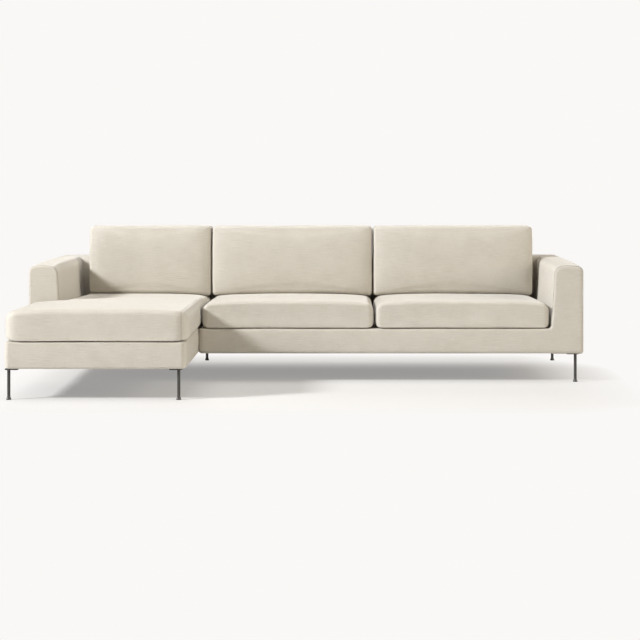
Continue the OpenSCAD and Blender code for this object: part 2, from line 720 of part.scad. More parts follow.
module sofa_front_rail() rail([sofa_rail_x, y_sofa + skin], [x_foot, y_sofa + skin + rail_t]);
module sofa_rear_rail() rail([sofa_rail_x, rear_rail_y], [x_foot, y_foot]) back_holes(sofa_screw_x);
module sofa_left_rail()
    rail([sofa_rail_x, y_sofa + skin + rail_t], [sofa_rail_x + rail_t, rear_rail_y]) link_holes();
module sofa_right_rail()
    rail([x_foot - rail_t, y_sofa + skin + rail_t], [x_foot, rear_rail_y]) arm_holes();
module sofa_cross_rail()
    rail([cross_x, y_sofa + skin + rail_t], [cross_x + rail_t, rear_rail_y]);
module sofa_corner_blocks() color("tan") {
    for (y = [[y_sofa + skin + rail_t, 1], [rear_rail_y, -1]]) {
        corner_block([sofa_rail_x + rail_t, y[0]], [1, y[1]]);
        corner_block([x_foot - rail_t, y[0]], [-1, y[1]]);
    }
}
module sofa_springs() color("silver") for (x = seat_rows) turned(x) spring(spring_y0, spring_y1, 0);
module sofa_spring_clips() color("gray")
    for (x = seat_rows, y = [spring_y0, spring_y1]) turned(x) spring_clip(y, 0);
module sofa_deck_pad() color("linen") along_z(z_pad, z_deck) sofa_plan(skin + lip_w);
module sofa_dust_cover() color("dimgray") along_z(leg_h, z_frame) sofa_plan(skin);
module sofa_base_cover() color("bisque") difference() {
    intersection() {
        along_z(leg_h - cut, z_deck + cut)
            soft_rect([x_join, y_sofa], [x_foot, y_foot], [corner_r, 0, 0, 0]);
        along_x(x_join - cut, x_foot + cut)
            soft_rect([y_sofa, leg_h], [y_foot, z_deck], [edge_r, 0, 0, edge_r]);
    }
    along_z(leg_h - cut, rail_top) sofa_plan(skin, cut);
    along_z(rail_top - cut, z_deck + cut) sofa_plan(skin + lip_w, cut);
    link_holes();
}

module connector_plates() color("gray") difference() {
    for (y = link_y, x = [link_x0, link_x1 - link_t])
        translate([x, y - link_w / 2, link_z - link_w / 2]) cube([link_t, link_w, link_w]);
    link_holes();
}
module connector_bolts() color("silver") for (y = link_y)
    translate([link_x0, y, link_z]) rotate([0, 90, 0]) coach_screw(link_x1 - link_x0 + bolt_d);
module connector_nuts() color("silver") for (y = link_y)
    translate([link_x1, y, link_z]) rotate([0, 90, 0]) difference() {
        cylinder(h = bolt_d * nut_share, d = bolt_d * across, $fn = 6);
        translate([0, 0, -cut]) cylinder(h = bolt_d * nut_share + 2 * cut, d = bolt_d);
    }
module arm_screws() color("silver") {
    arm_side_screws();
    left_side() arm_side_screws();
}
module back_screws() color("silver") back_side_screws(concat(chaise_screw_x, sofa_screw_x));
module leg_screws() color("silver") for (leg = leg_places, p = plate_screws(leg))
    translate([p.x, p.y, leg_h - plate_t]) {
        cylinder(h = screw_l, d = screw_d);
        translate([0, 0, -head_h]) cylinder(h = head_h, d1 = screw_d, d2 = screw_d * head_share);
    }

module chaise_front_left_leg() leg_and_plate(0);
module chaise_front_right_leg() leg_and_plate(1);
module chaise_rear_left_leg() leg_and_plate(2);
module chaise_rear_right_leg() leg_and_plate(3);
module sofa_front_right_leg() leg_and_plate(4);
module sofa_rear_right_leg() leg_and_plate(5);
module feet() color("black") for (leg = leg_places) foot([leg[0].x, leg[0].y, 0]);

// The L-shaped cushion runs past the arm's front and fills the space beside it
chaise_x0 = -x_out;
chaise_x1 = seat_x0 - soft_gap;
chaise_in = arm_gap - x_foot;
notch_y = y_sofa - arm_gap;
chaise_centre = [(chaise_in + chaise_x1) / 2, notch_y - chaise_step];
module chaise_core() {
    seat_core(chaise_in, chaise_x1, -y_rear, seat_y1);
    seat_core(chaise_x0, chaise_x1, -y_rear, notch_y);
}
module chaise_seat_cushion() color("bisque") difference() {
    seat_form(
        [[chaise_x0, -y_rear, chaise_outer_r], [chaise_x1, -y_rear, chaise_corner_r],
            [chaise_x1, seat_y1, seat_corner_r], [chaise_in, seat_y1, seat_corner_r],
            [chaise_in, notch_y, notch_r], [chaise_x0, notch_y, seat_corner_r]],
        chaise_step, chaise_centre, chaise_x0, chaise_x1, -y_rear, chaise_t, chaise_front_r);
    chaise_core();
}
module chaise_seat_foam() color("ivory") chaise_core();
middle_x = [seat_x0, x_split - soft_gap / 2];
right_x = [x_split + soft_gap / 2, x_foot - arm_gap];
module middle_seat_cushion() color("bisque") straight_seat(middle_x[0], middle_x[1]);
module middle_seat_foam() color("ivory") seat_core(middle_x[0], middle_x[1], seat_y0, seat_y1);
module right_seat_cushion() color("bisque") straight_seat(right_x[0], right_x[1]);
module right_seat_foam() color("ivory") seat_core(right_x[0], right_x[1], seat_y0, seat_y1);

chaise_back_x = [chaise_side_gap - x_arm, chaise_x1];
right_back_x = [right_x[0], x_arm - back_side_gap];
module chaise_back_cushion() color("bisque")
    back_form(chaise_back_x[0], chaise_back_x[1], chaise_x0, chaise_x1);
module chaise_back_filling() color("ivory") back_core(chaise_back_x[0], chaise_back_x[1]);
module middle_back_cushion() color("bisque")
    back_form(middle_x[0], middle_x[1], middle_x[0], middle_x[1]);
module middle_back_filling() color("ivory") back_core(middle_x[0], middle_x[1]);
module right_back_cushion() color("bisque")
    back_form(right_back_x[0], right_back_x[1], right_x[0], right_x[1]);
module right_back_filling() color("ivory") back_core(right_back_x[0], right_back_x[1]);

chaise_front_rail();
chaise_left_rail();
chaise_middle_rail();
chaise_inner_rail();
chaise_right_rail();
chaise_rear_rail();
chaise_corner_blocks();
chaise_springs();
chaise_spring_clips();
chaise_deck_pad();
chaise_base_cover();
chaise_dust_cover();
chaise_back_frame();
chaise_back_webbing();
chaise_back_cover();
left_arm_frame();
left_arm_cover();
sofa_front_rail();
sofa_rear_rail();
sofa_left_rail();
sofa_right_rail();
sofa_cross_rail();
sofa_corner_blocks();
sofa_springs();
sofa_spring_clips();
sofa_deck_pad();
sofa_base_cover();
sofa_dust_cover();
sofa_back_frame();
sofa_back_webbing();
sofa_back_cover();
right_arm_frame();
right_arm_cover();
connector_plates();
connector_bolts();
connector_nuts();
arm_screws();
back_screws();
leg_screws();
chaise_front_left_leg();
chaise_front_right_leg();
chaise_rear_left_leg();
chaise_rear_right_leg();
sofa_front_right_leg();
sofa_rear_right_leg();
feet();
chaise_seat_cushion();
chaise_seat_foam();
middle_seat_cushion();
middle_seat_foam();
right_seat_cushion();
right_seat_foam();
chaise_back_cushion();
chaise_back_filling();
middle_back_cushion();
middle_back_filling();
right_back_cushion();
right_back_filling();
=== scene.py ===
# Corner sofa with a left-hand chaise: cloth, timber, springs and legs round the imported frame.
# Metres, Z up. X runs along the back, the chaise is at -X and the seats face -Y.
import json
import math

import bpy
import numpy as np
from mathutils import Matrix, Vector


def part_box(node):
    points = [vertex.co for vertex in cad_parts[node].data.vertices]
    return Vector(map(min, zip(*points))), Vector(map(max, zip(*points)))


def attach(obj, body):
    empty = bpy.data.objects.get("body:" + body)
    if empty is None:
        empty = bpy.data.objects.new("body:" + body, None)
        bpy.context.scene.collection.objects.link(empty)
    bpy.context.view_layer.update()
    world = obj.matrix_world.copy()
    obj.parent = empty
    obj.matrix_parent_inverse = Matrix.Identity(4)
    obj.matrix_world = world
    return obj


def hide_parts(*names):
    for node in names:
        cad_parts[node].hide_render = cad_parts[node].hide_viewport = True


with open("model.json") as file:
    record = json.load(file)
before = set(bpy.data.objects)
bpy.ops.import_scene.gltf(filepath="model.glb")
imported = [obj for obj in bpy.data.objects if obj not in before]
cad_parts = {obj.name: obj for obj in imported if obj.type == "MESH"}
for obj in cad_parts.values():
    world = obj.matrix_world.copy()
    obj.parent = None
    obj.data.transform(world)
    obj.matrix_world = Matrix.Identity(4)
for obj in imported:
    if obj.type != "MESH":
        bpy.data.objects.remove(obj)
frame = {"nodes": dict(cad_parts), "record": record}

scene = bpy.context.scene
scene.view_settings.view_transform = "Standard"
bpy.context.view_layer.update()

# Camera: level, with a lens shift, so that uprights stay upright
cameraSet = {
    "place": (0.211, -8.085, 1.165),
    "lens": 81.9,         # mm
    "sensor": 36.0,
    "picture": 640,       # side of the square picture in pixels
    "aheadX": 345,        # pixel that lies straight ahead
    "aheadY": 168,
}


def makeCamera(c):
    data = bpy.data.cameras.new("camera")
    data.lens = c["lens"]
    data.sensor_width = c["sensor"]
    half = c["picture"] / 2
    data.shift_x = (half - c["aheadX"]) / c["picture"]
    data.shift_y = (c["aheadY"] - half) / c["picture"]
    camera = bpy.data.objects.new("camera", data)
    camera.location = c["place"]
    camera.rotation_euler = (math.pi / 2, 0, 0)
    scene.collection.objects.link(camera)
    scene.camera = camera


makeCamera(cameraSet)


# Short ways to add and wire shader nodes
class Nodes:
    def __init__(self, tree):
        self.tree = tree
        self.count = 0

    def add(self, kind, inputs=None, **options):
        node = self.tree.nodes.new(kind)
        node.location = (200 * (self.count % 10), -300 * (self.count // 10))
        self.count += 1
        for key, value in options.items():
            setattr(node, key, value)
        for key, value in (inputs or {}).items():
            self.put(node.inputs[key], value)
        return node

    def put(self, socket, value):
        if isinstance(value, bpy.types.NodeSocket):
            self.tree.links.new(value, socket)
        else:
            socket.default_value = value

    def math(self, operation, a, b=0.5, c=0.5):
        return self.add("ShaderNodeMath", {0: a, 1: b, 2: c}, operation=operation).outputs[0]

    def noise(self, vector, scale, detail=2.0, rough=0.5):
        inputs = {"Vector": vector, "Scale": scale, "Detail": detail, "Roughness": rough}
        return self.add("ShaderNodeTexNoise", inputs).outputs[0]

    def combine(self, x, y, z):
        return self.add("ShaderNodeCombineXYZ", {0: x, 1: y, 2: z}).outputs[0]

    def between(self, value, low, high, toLow=0.0, toHigh=1.0):
        inputs = {0: value, 1: low, 2: high, 3: toLow, 4: toHigh}
        return self.add("ShaderNodeMapRange", inputs, interpolation_type="SMOOTHSTEP").outputs[0]

    def axes(self, kind):
        coordinates = self.add("ShaderNodeTexCoord").outputs[kind]
        return self.add("ShaderNodeSeparateXYZ", {0: coordinates}).outputs

    def bump(self, height, distance, strength):
        inputs = {"Height": height, "Distance": distance, "Strength": strength}
        return self.add("ShaderNodeBump", inputs).outputs[0]

    def mixNumber(self, share, a, b):
        return self.add("ShaderNodeMix", {0: share, 2: a, 3: b}).outputs[0]

    def mixColour(self, share, a, b, blend="MIX"):
        node = self.add("ShaderNodeMix", data_type="RGBA", blend_type=blend)
        for index, value in ((0, share), (6, a), (7, b)):
            self.put(node.inputs[index], value)
        return node.outputs[2]


def newGroup(name, inputs, outputs):
    group = bpy.data.node_groups.new(name, "ShaderNodeTree")
    for label, kind, value in inputs:
        group.interface.new_socket(label, in_out="INPUT", socket_type=kind).default_value = value
    for label, kind in outputs:
        group.interface.new_socket(label, in_out="OUTPUT", socket_type=kind)
    nodes = Nodes(group)
    return group, nodes, nodes.add("NodeGroupInput").outputs, nodes.add("NodeGroupOutput").inputs


floatSocket = "NodeSocketFloat"


# Cloth: threads along and across each face, with thicker slubs among the crosswise ones.
# A noise repeats so many times in a metre along and up a face.
weaveSet = {
    "inputs": {"Thread": 0.0016, "Slubs": 1.0, "Blotches": 1.0},
    "slub": {"along": 13.0, "up": 330.0, "detail": 3.0, "rough": 0.62},
    "fine": {"along": 60.0, "up": 800.0, "detail": 1.0, "rough": 0.5},
    "warp": {"along": 520.0, "up": 24.0, "detail": 2.0, "rough": 0.5},
    "patch": {"along": 2.2, "up": 7.0, "detail": 2.0, "rough": 0.5},   # where slubs gather
    "blotch": {"scale": 9.0, "detail": 3.0, "rough": 0.55},            # slow change of tone
    "turned": 0.72,       # share of the normal past which a face counts as a side or as level
    "sideApart": 3.0,     # keeps the patterns of sides and level faces different
    "levelApart": 7.0,
    "strong": (0.50, 0.72),   # of the slub noise: threads lighter and thicker than the others
    "weak": (0.48, 0.30),     # and darker and thinner ones
    "gather": (0.3, 0.7, 0.45, 1.0),   # of the patch noise, and the share of slubs there
    "fuzz": (0.3, 0.7),       # of the fine noise
    "slubTone": 0.46,
    "threadTone": 0.40,
    "slubHeight": 0.55,
    "weaveHeight": 0.22,
}


def clothGroup(c):
    group, n, given, result = newGroup(
        "wovenCloth",
        [(name, floatSocket, value) for name, value in c["inputs"].items()],
        [(name, floatSocket) for name in ("Shade", "Height", "Fuzz")],
    )
    place, facing = n.axes("Object"), n.axes("Normal")
    side = n.math("GREATER_THAN", n.math("ABSOLUTE", facing[0]), c["turned"])
    level = n.math("GREATER_THAN", n.math("ABSOLUTE", facing[2]), c["turned"])
    along = n.mixNumber(side, place[0], place[1])
    up = n.mixNumber(level, place[2], place[1])
    apart = n.mixNumber(level, n.mixNumber(side, 0.0, c["sideApart"]), c["levelApart"])

    def threads(own):
        stretched = [n.math("MULTIPLY", along, own["along"]), n.math("MULTIPLY", up, own["up"])]
        return n.noise(n.combine(*stretched, apart), 1.0, own["detail"], own["rough"])

    slub, fine, warp, patch = (threads(c[name]) for name in ("slub", "fine", "warp", "patch"))
    own = c["blotch"]
    blotch = n.noise(n.combine(along, up, apart), own["scale"], own["detail"], own["rough"])
    strong, weak = n.between(slub, *c["strong"]), n.between(slub, *c["weak"])
    gathered = n.between(patch, *c["gather"])
    streaks = n.math("MULTIPLY", n.math("SUBTRACT", strong, weak), gathered)
    streaks = n.math("MULTIPLY", streaks, given["Slubs"])
    yarn = n.math("ADD", n.math("SUBTRACT", fine, 0.5), n.math("SUBTRACT", warp, 0.5))
    tone = n.math("MULTIPLY", n.math("SUBTRACT", blotch, 0.5), given["Blotches"])
    shade = n.math("MULTIPLY_ADD", yarn, c["threadTone"], tone)
    shade = n.math("MULTIPLY_ADD", streaks, c["slubTone"], shade)
    n.put(result["Shade"], n.math("ADD", shade, 0.5))
    turn = n.math("DIVIDE", math.pi, given["Thread"])
    across = n.math("SINE", n.math("MULTIPLY", along, turn))
    upward = n.math("SINE", n.math("MULTIPLY", up, turn))
    weave = n.math("MULTIPLY", across, upward)
    height = n.math("MULTIPLY_ADD", streaks, c["slubHeight"], yarn)
    height = n.math("MULTIPLY_ADD", weave, c["weaveHeight"], height)
    n.put(result["Height"], height)
    n.put(result["Fuzz"], n.between(fine, *c["fuzz"]))
    return group


# Wear: dust and rubbing that gather where a noise says so
wearSet = {
    "inputs": {"Scale": 30.0, "Amount": 0.5},
    "broad": {"detail": 4.0, "rough": 0.6},
    "worn": (0.42, 0.75),     # of the broad noise
    "finer": 14.0,            # times that the grain repeats in one of the broad noise
    "grainDetail": 2.0,
    "grainHeight": 0.5,
}


def wearGroup(c):
    group, n, given, result = newGroup(
        "wear",
        [(name, floatSocket, value) for name, value in c["inputs"].items()],
        [(name, floatSocket) for name in ("Mask", "Height")],
    )
    place = n.add("ShaderNodeTexCoord").outputs["Object"]
    broad = n.noise(place, given["Scale"], **c["broad"])
    grain = n.noise(place, n.math("MULTIPLY", given["Scale"], c["finer"]), c["grainDetail"])
    n.put(result["Mask"], n.math("MULTIPLY", n.between(broad, *c["worn"]), given["Amount"]))
    n.put(result["Height"], n.math("MULTIPLY_ADD", grain, c["grainHeight"], broad))
    return group


groups = {"cloth": clothGroup(weaveSet), "wear": wearGroup(wearSet)}


def newMaterial(name):
    material = bpy.data.materials.new(name)
    material.use_nodes = True
    material.node_tree.nodes.clear()
    nodes = Nodes(material.node_tree)
    end = nodes.add("ShaderNodeOutputMaterial")
    return material, nodes, end.inputs["Surface"]


def useGroup(n, name, **values):
    node = n.add("ShaderNodeGroup")
    node.node_tree = groups[name]
    for key, value in values.items():
        n.put(node.inputs[key], value)
    return node.outputs


finishSet = {
    # Seams are painted darker in their grooves: painted shade, mixed in at this share at a seam's
    # middle, towards a darker copy of the cloth's dark colour.
    "seamPaintedShade": 0.45,     # share of the seam's shade at its middle
    "seamShade": 0.62,    # of the cloth's dark colour
    "seamDepth": 2.0,     # in the weave's own heights
    "weaveBump": 0.8,
    "clothRough": (0.86, 0.97),
    "clothSpecular": 0.22,
    "sheenRough": 0.32,
    "sheenTint": (1.0, 0.99, 0.97, 1.0),
    "wornRougher": 0.16,  # added to a hard finish's roughness where it is worn
    "hardWear": 0.6,
    "hardBump": 0.5,
}
timberSet = {
    "stretch": (3.0, 3.0, 40.0),
    "rings": {"scale": 3.0, "detail": 5.0, "rough": 0.6},
    "ringTones": (0.35, 0.68),
    "pores": {"scale": 30.0, "detail": 3.0, "rough": 0.6},
    "wearScale": 18.0,
    "wear": 0.35,
    "wornTint": (0.42, 0.30, 0.18, 1.0),
    "ringHeight": 0.5,
    "grain": 0.0006,
    "bump": 0.5,
    "rough": (0.48, 0.74),
}
foamSet = {
    "blotches": 12.0,
    "detail": 3.0,
    "grain": 0.0008,
    "bump": 0.7,
    "rough": 0.95,
}


def clothMaterial(name, light, dark, thread, slubs, blotches, bump, sheen=0.0, seams=False):
    material, n, surface = newMaterial(name)
    cloth = useGroup(n, "cloth", Thread=thread, Slubs=slubs, Blotches=blotches)
    tint = n.mixColour(cloth["Shade"], dark, light)
    height = cloth["Height"]
    if seams:
        # Painted shade in the seams: the seam attribute darkens the colour in the groove, besides
        # sinking the bump.
        seam = n.add("ShaderNodeAttribute", attribute_name="seam").outputs["Fac"]
        shaded = [part * finishSet["seamShade"] for part in dark[:3]] + [1.0]
        tint = n.mixColour(n.math("MULTIPLY", seam, finishSet["seamPaintedShade"]), tint, shaded)
        height = n.math("SUBTRACT", height, n.math("MULTIPLY", seam, finishSet["seamDepth"]))
    normal = n.bump(height, bump, finishSet["weaveBump"])
    rough = n.mixNumber(cloth["Fuzz"], *finishSet["clothRough"])
    inputs = {"Base Color": tint, "Roughness": rough, "Normal": normal}
    shader = n.add("ShaderNodeBsdfPrincipled", inputs)
    shader.inputs["Specular IOR Level"].default_value = finishSet["clothSpecular"]
    shader.inputs["Sheen Weight"].default_value = sheen
    shader.inputs["Sheen Roughness"].default_value = finishSet["sheenRough"]
    shader.inputs["Sheen Tint"].default_value = finishSet["sheenTint"]
    n.put(surface, shader.outputs[0])
    return material


def timberMaterial(c, name, light, dark):
    material, n, surface = newMaterial(name)
    place = n.add("ShaderNodeTexCoord").outputs["Object"]
    stretched = n.add("ShaderNodeMapping", {"Vector": place, "Scale": c["stretch"]}).outputs[0]
    rings = n.noise(stretched, **c["rings"])
    pores = n.noise(stretched, **c["pores"])
    worn = useGroup(n, "wear", Scale=c["wearScale"], Amount=c["wear"])
    tint = n.mixColour(n.between(rings, *c["ringTones"]), dark, light)
    tint = n.mixColour(worn["Mask"], tint, c["wornTint"])
    height = n.math("ADD", pores, n.math("MULTIPLY", rings, c["ringHeight"]))
    normal = n.bump(height, c["grain"], c["bump"])
    rough = n.mixNumber(pores, *c["rough"])
    inputs = {"Base Color": tint, "Roughness": rough, "Normal": normal}
    n.put(surface, n.add("ShaderNodeBsdfPrincipled", inputs).outputs[0])
    return material


def hardMaterial(name, tint, wornTint, rough, metal, scale, grain):
    material, n, surface = newMaterial(name)
    worn = useGroup(n, "wear", Scale=scale, Amount=finishSet["hardWear"])
    base = n.mixColour(worn["Mask"], tint, wornTint)
    uneven = n.mixNumber(worn["Mask"], rough, rough + finishSet["wornRougher"])
    normal = n.bump(worn["Height"], grain, finishSet["hardBump"])
    inputs = {"Base Color": base, "Roughness": uneven, "Normal": normal}
    shader = n.add("ShaderNodeBsdfPrincipled", inputs)
    shader.inputs["Metallic"].default_value = metal
    n.put(surface, shader.outputs[0])
    return material


def foamMaterial(c, name, light, dark, cell):
    material, n, surface = newMaterial(name)
    place = n.add("ShaderNodeTexCoord").outputs["Object"]
    cells = n.add("ShaderNodeTexVoronoi", {"Vector": place, "Scale": 1 / cell}).outputs["Distance"]
    broad = n.noise(place, c["blotches"], c["detail"])
    tint = n.mixColour(n.math("MULTIPLY", broad, cells), dark, light)
    inputs = {"Base Color": tint, "Normal": n.bump(cells, c["grain"], c["bump"])}
    shader = n.add("ShaderNodeBsdfPrincipled", inputs)
    shader.inputs["Roughness"].default_value = c["rough"]
    n.put(surface, shader.outputs[0])
    return material


# The sofa's own cloth, the hidden ones and the hard parts. Thread is a thread's width, bump and
# grain are heights of the surface.
oatmeal = {
    "light": (0.690, 0.655, 0.590, 1.0), "dark": (0.535, 0.500, 0.437, 1.0),
    "thread": 0.0016, "slubs": 1.0, "blotches": 0.6, "bump": 0.0010, "sheen": 0.60, "seams": True,
}
plainCloths = {
    "deck_cloth": {
        "name": "deckCloth", "light": (0.62, 0.57, 0.48, 1), "dark": (0.54, 0.49, 0.41, 1),
        "thread": 0.0012, "slubs": 0.3, "blotches": 0.6, "bump": 0.0006,
    },
    "dust_cloth": {
        "name": "dustCloth", "light": (0.030, 0.030, 0.032, 1), "dark": (0.018, 0.018, 0.02, 1),
        "thread": 0.002, "slubs": 0.0, "blotches": 1.0, "bump": 0.0006,
    },
    "webbing": {
        "name": "webbing", "light": (0.10, 0.10, 0.10, 1), "dark": (0.05, 0.05, 0.05, 1),
        "thread": 0.003, "slubs": 0.4, "blotches": 0.4, "bump": 0.0010,
    },
}
hardParts = {
    "spring_steel": {
        "name": "springSteel", "tint": (0.42, 0.42, 0.42, 1), "wornTint": (0.25, 0.24, 0.23, 1),
        "rough": 0.34, "metal": 1.0, "scale": 60.0, "grain": 0.0002,
    },
    "fastener_steel": {
        "name": "zincSteel", "tint": (0.60, 0.60, 0.58, 1), "wornTint": (0.42, 0.42, 0.40, 1),
        "rough": 0.36, "metal": 1.0, "scale": 80.0, "grain": 0.0002,
    },
    "leg_steel": {
        "name": "blackSteel",
        "tint": (0.040, 0.038, 0.034, 1), "wornTint": (0.062, 0.058, 0.050, 1),
        "rough": 0.55, "metal": 0.0, "scale": 45.0, "grain": 0.00025,
    },
    "foot_plastic": {
        "name": "glidePlastic",
        "tint": (0.045, 0.043, 0.038, 1), "wornTint": (0.070, 0.066, 0.058, 1),
        "rough": 0.36, "metal": 0.0, "scale": 90.0, "grain": 0.0002,
    },
}
finishes = {
    "cushion_fabric": clothMaterial("cushionCloth", **oatmeal),
    "base_fabric": clothMaterial("bodyCloth", **oatmeal),
    "timber": timberMaterial(timberSet, "timber", (0.70, 0.53, 0.33, 1), (0.52, 0.35, 0.19, 1)),
    "foam": foamMaterial(foamSet, "cutFoam", (0.88, 0.84, 0.72, 1), (0.74, 0.69, 0.55, 1), 0.004),
    "fibre": foamMaterial(foamSet, "fibreBag", (0.90, 0.90, 0.88, 1), (0.78, 0.78, 0.76, 1), 0.009),
}
for slot, values in plainCloths.items():
    finishes[slot] = clothMaterial(**values)
for slot, values in hardParts.items():
    finishes[slot] = hardMaterial(**values)


def dress(piece, slot):
    piece.data.materials.clear()
    piece.data.materials.append(finishes[slot])


for part in frame["record"]["subparts"]:
    dress(frame["nodes"][part["node"]], part["material_slot"])
print("materials made:", len(finishes))


# Soft forms: rings of points round an outline with rounded corners, from the foot to the crown.
# Rings grow rounder inwards, so that the faces round the middle stay even.
softSet = {
    "step": 0.027,        # between points along the straight stretches
    "turns": 6,           # faces round a corner
    "rest": 0.004,        # radius that a corner keeps in the innermost full ring
    "ease": 0.5,          # how fast the greatest inset grows away from a corner
    "free": 1.0,          # greatest inset at a notch, where nothing folds over
    "under": (0.02, 0.06, 0.2, 0.45, 0.7, 0.87, 0.96),
    "footTurns": (-90, -68, -45, -22),
    "wall": (0.0, 0.2, 0.4, 0.6, 0.8),
    "armWall": (
        0.0, 0.005, 0.01, 0.016, 0.024, 0.035, 0.05, 0.07, 0.1,
        0.15, 0.22, 0.3, 0.4, 0.5, 0.6, 0.7, 0.8, 0.9,
    ),
    "edgeTurns": (0, 15, 30, 45, 60, 75, 90),
    "over": (0.975, 0.94, 0.89, 0.82, 0.73, 0.62, 0.5, 0.38, 0.26, 0.13, 0.06, 0.02),
}


# Points of one corner: place, outward normal, 0 for being at a corner, and the greatest inset
def cornerArc(place, before, after, radius):
    turn = math.atan2(before[0] * after[1] - before[1] * after[0], before @ after)
    sign = 1 if turn > 0 else -1
    outward = np.array([before[1], -before[0]])
    middle = place - before * radius * math.tan(abs(turn) / 2) - outward * radius * sign
    most = radius - softSet["rest"] if sign > 0 else softSet["free"]
    arc = []
    for k in range(softSet["turns"] + 1):
        part = turn * k / softSet["turns"]
        cosine, sine = math.cos(part), math.sin(part)
        normal = np.array([
            cosine * outward[0] - sine * outward[1], sine * outward[0] + cosine * outward[1],
        ])
        arc.append((middle + normal * radius * sign, normal, 0.0, most))
    return arc


# Corners are (x, y, radius), anticlockwise. The outline holds places, outward normals, how far
# each point is between its corners (0 to 1) and its greatest inset, so that none folds over.
def roundedOutline(corners):
    places = [np.array(corner[:2], float) for corner in corners]
    count = len(places)
    ways = [places[(i + 1) % count] - places[i] for i in range(count)]
    ways = [way / np.linalg.norm(way) for way in ways]
    arcs = [cornerArc(places[i], ways[i - 1], ways[i], corners[i][2]) for i in range(count)]
    ease = softSet["ease"]
    line = []
    for i in range(count):
        line += arcs[i]
        first, last = arcs[i][-1], arcs[(i + 1) % count][0]
        length = np.linalg.norm(last[0] - first[0])
        pieces = max(2, math.ceil(length / softSet["step"]))
        normal = np.array([ways[i][1], -ways[i][0]])
        for k in range(1, pieces):
            t = k / pieces
            most = min(first[3] + ease * length * t, last[3] + ease * length * (1 - t))
            place = first[0] + (last[0] - first[0]) * t
            line.append((place, normal, math.sin(math.pi * t), most))
    return [np.array([point[j] for point in line]) for j in range(4)]


# low and high give the heights of underside and top over x and y. The radii of the lower and
# upper edges are numbers, or functions of the normals.
def ringForm(outline, centre, low, high, radii, pull=0.0, belly=0.0, wall=softSet["wall"]):
    place, normal, middle, most = outline
    centre = np.array(centre, float)
    count = len(place)
    foot, edge = (r(normal) if callable(r) else np.full(count, r) for r in radii)
    even = np.linspace(0, 2 * math.pi, count, endpoint=False)
    around = np.unwrap(np.arctan2(*(place - centre).T[::-1]))
    even += np.mean(around - even)
    reach = np.linalg.norm(place - centre, axis=1).min()
    circle = reach * np.column_stack([np.cos(even), np.sin(even)])
    rings = []

    def ring(inset, share, height):
        shape = place - normal * (np.minimum(inset, most) + pull * middle)[:, None] - centre
        rounder = (1 - share) ** 2
        flat = centre + (shape * (1 - rounder) + circle * rounder) * share
        rings.append(np.column_stack([flat, height(flat[:, 0], flat[:, 1])]))

    for share in softSet["under"]:
        ring(foot, share, low)
    for angle in np.radians(softSet["footTurns"]):
        rise = foot * (1 + math.sin(angle))
        ring(foot * (1 - math.cos(angle)), 1, lambda x, y: low(x, y) + rise)
    for share in wall:
        bulge = np.full(count, -belly * math.sin(math.pi * share))
        ring(bulge, 1, lambda x, y: (low(x, y) + foot) * (1 - share) + (high(x, y) - edge) * share)
    for angle in np.radians(softSet["edgeTurns"]):
        fall = edge * (1 - math.sin(angle))
        ring(edge * (1 - math.cos(angle)), 1, lambda x, y: high(x, y) - fall)
    for share in softSet["over"]:
        ring(edge, share, high)
    ends = [[*centre, level(centre[:1], centre[1:])[0]] for level in (low, high)]
    total = len(rings)
    faces = []
    for a in range((total - 1) * count):
        b = a + 1 if (a + 1) % count else a + 1 - count
        faces.append((a, b, b + count, a + count))
    last = (total - 1) * count
    for i in range(count):
        faces.append((total * count, (i + 1) % count, i))
        faces.append((total * count + 1, last + i, last + (i + 1) % count))
    return np.vstack(rings + [ends]), faces


def meshPiece(name, points, faces):
    mesh = bpy.data.meshes.new(name)
    mesh.from_pydata([tuple(p) for p in points], [], faces)
    piece = bpy.data.objects.new(name, mesh)
    scene.collection.objects.link(piece)
    return piece


def evaluatedMesh(piece):
    bpy.context.view_layer.update()
    shown = piece.evaluated_get(bpy.context.evaluated_depsgraph_get())
    return bpy.data.meshes.new_from_object(shown)


def applied(piece, kind, **options):
    modifier = piece.modifiers.new(kind.lower(), kind)
    for key, value in options.items():
        setattr(modifier, key, value)
    mesh = evaluatedMesh(piece)
    piece.modifiers.clear()
    piece.data = mesh
    return piece


# Without the limit surface, which is slow round the forms' many-sided middles
def subdivided(piece):
    return applied(piece, "SUBSURF", levels=1, use_limit_surface=False)


def pointsOf(mesh, key="co"):
    flat = np.empty(len(mesh.vertices) * 3, np.float32)
    mesh.vertices.foreach_get(key, flat)
    return flat.reshape(-1, 3).astype(float)


def setPoints(mesh, points):
    mesh.vertices.foreach_set("co", points.astype(np.float32).ravel())
    mesh.update()


def smoothStep(t):
    t = np.clip(t, 0, 1)
    return t * t * (3 - 2 * t)


# A short cloth simulation that lets the cover swell a little between its held parts
clothSet = {
    "pressure": 4.0,
    "frames": 20,
    "quality": 4,
    "mass": 0.3,
    "stiffness": 12.0,
    "bending": 6.0,
    "rounds": 40,         # of evening the movement over the mesh
}


# Each value moves half of the way to the mean of its neighbours, round after round
def evened(mesh, values, rounds):
    ends = np.empty(len(mesh.edges) * 2, np.int32)
    mesh.edges.foreach_get("vertices", ends)
    a, b = ends[::2], ends[1::2]
    count = len(values)
    around = np.bincount(a, minlength=count) + np.bincount(b, minlength=count)
    for _ in range(rounds):
        sums = [np.bincount(a, v[b], count) + np.bincount(b, v[a], count) for v in values.T]
        values = 0.5 * values + 0.5 * np.column_stack(sums) / around[:, None]
    return values


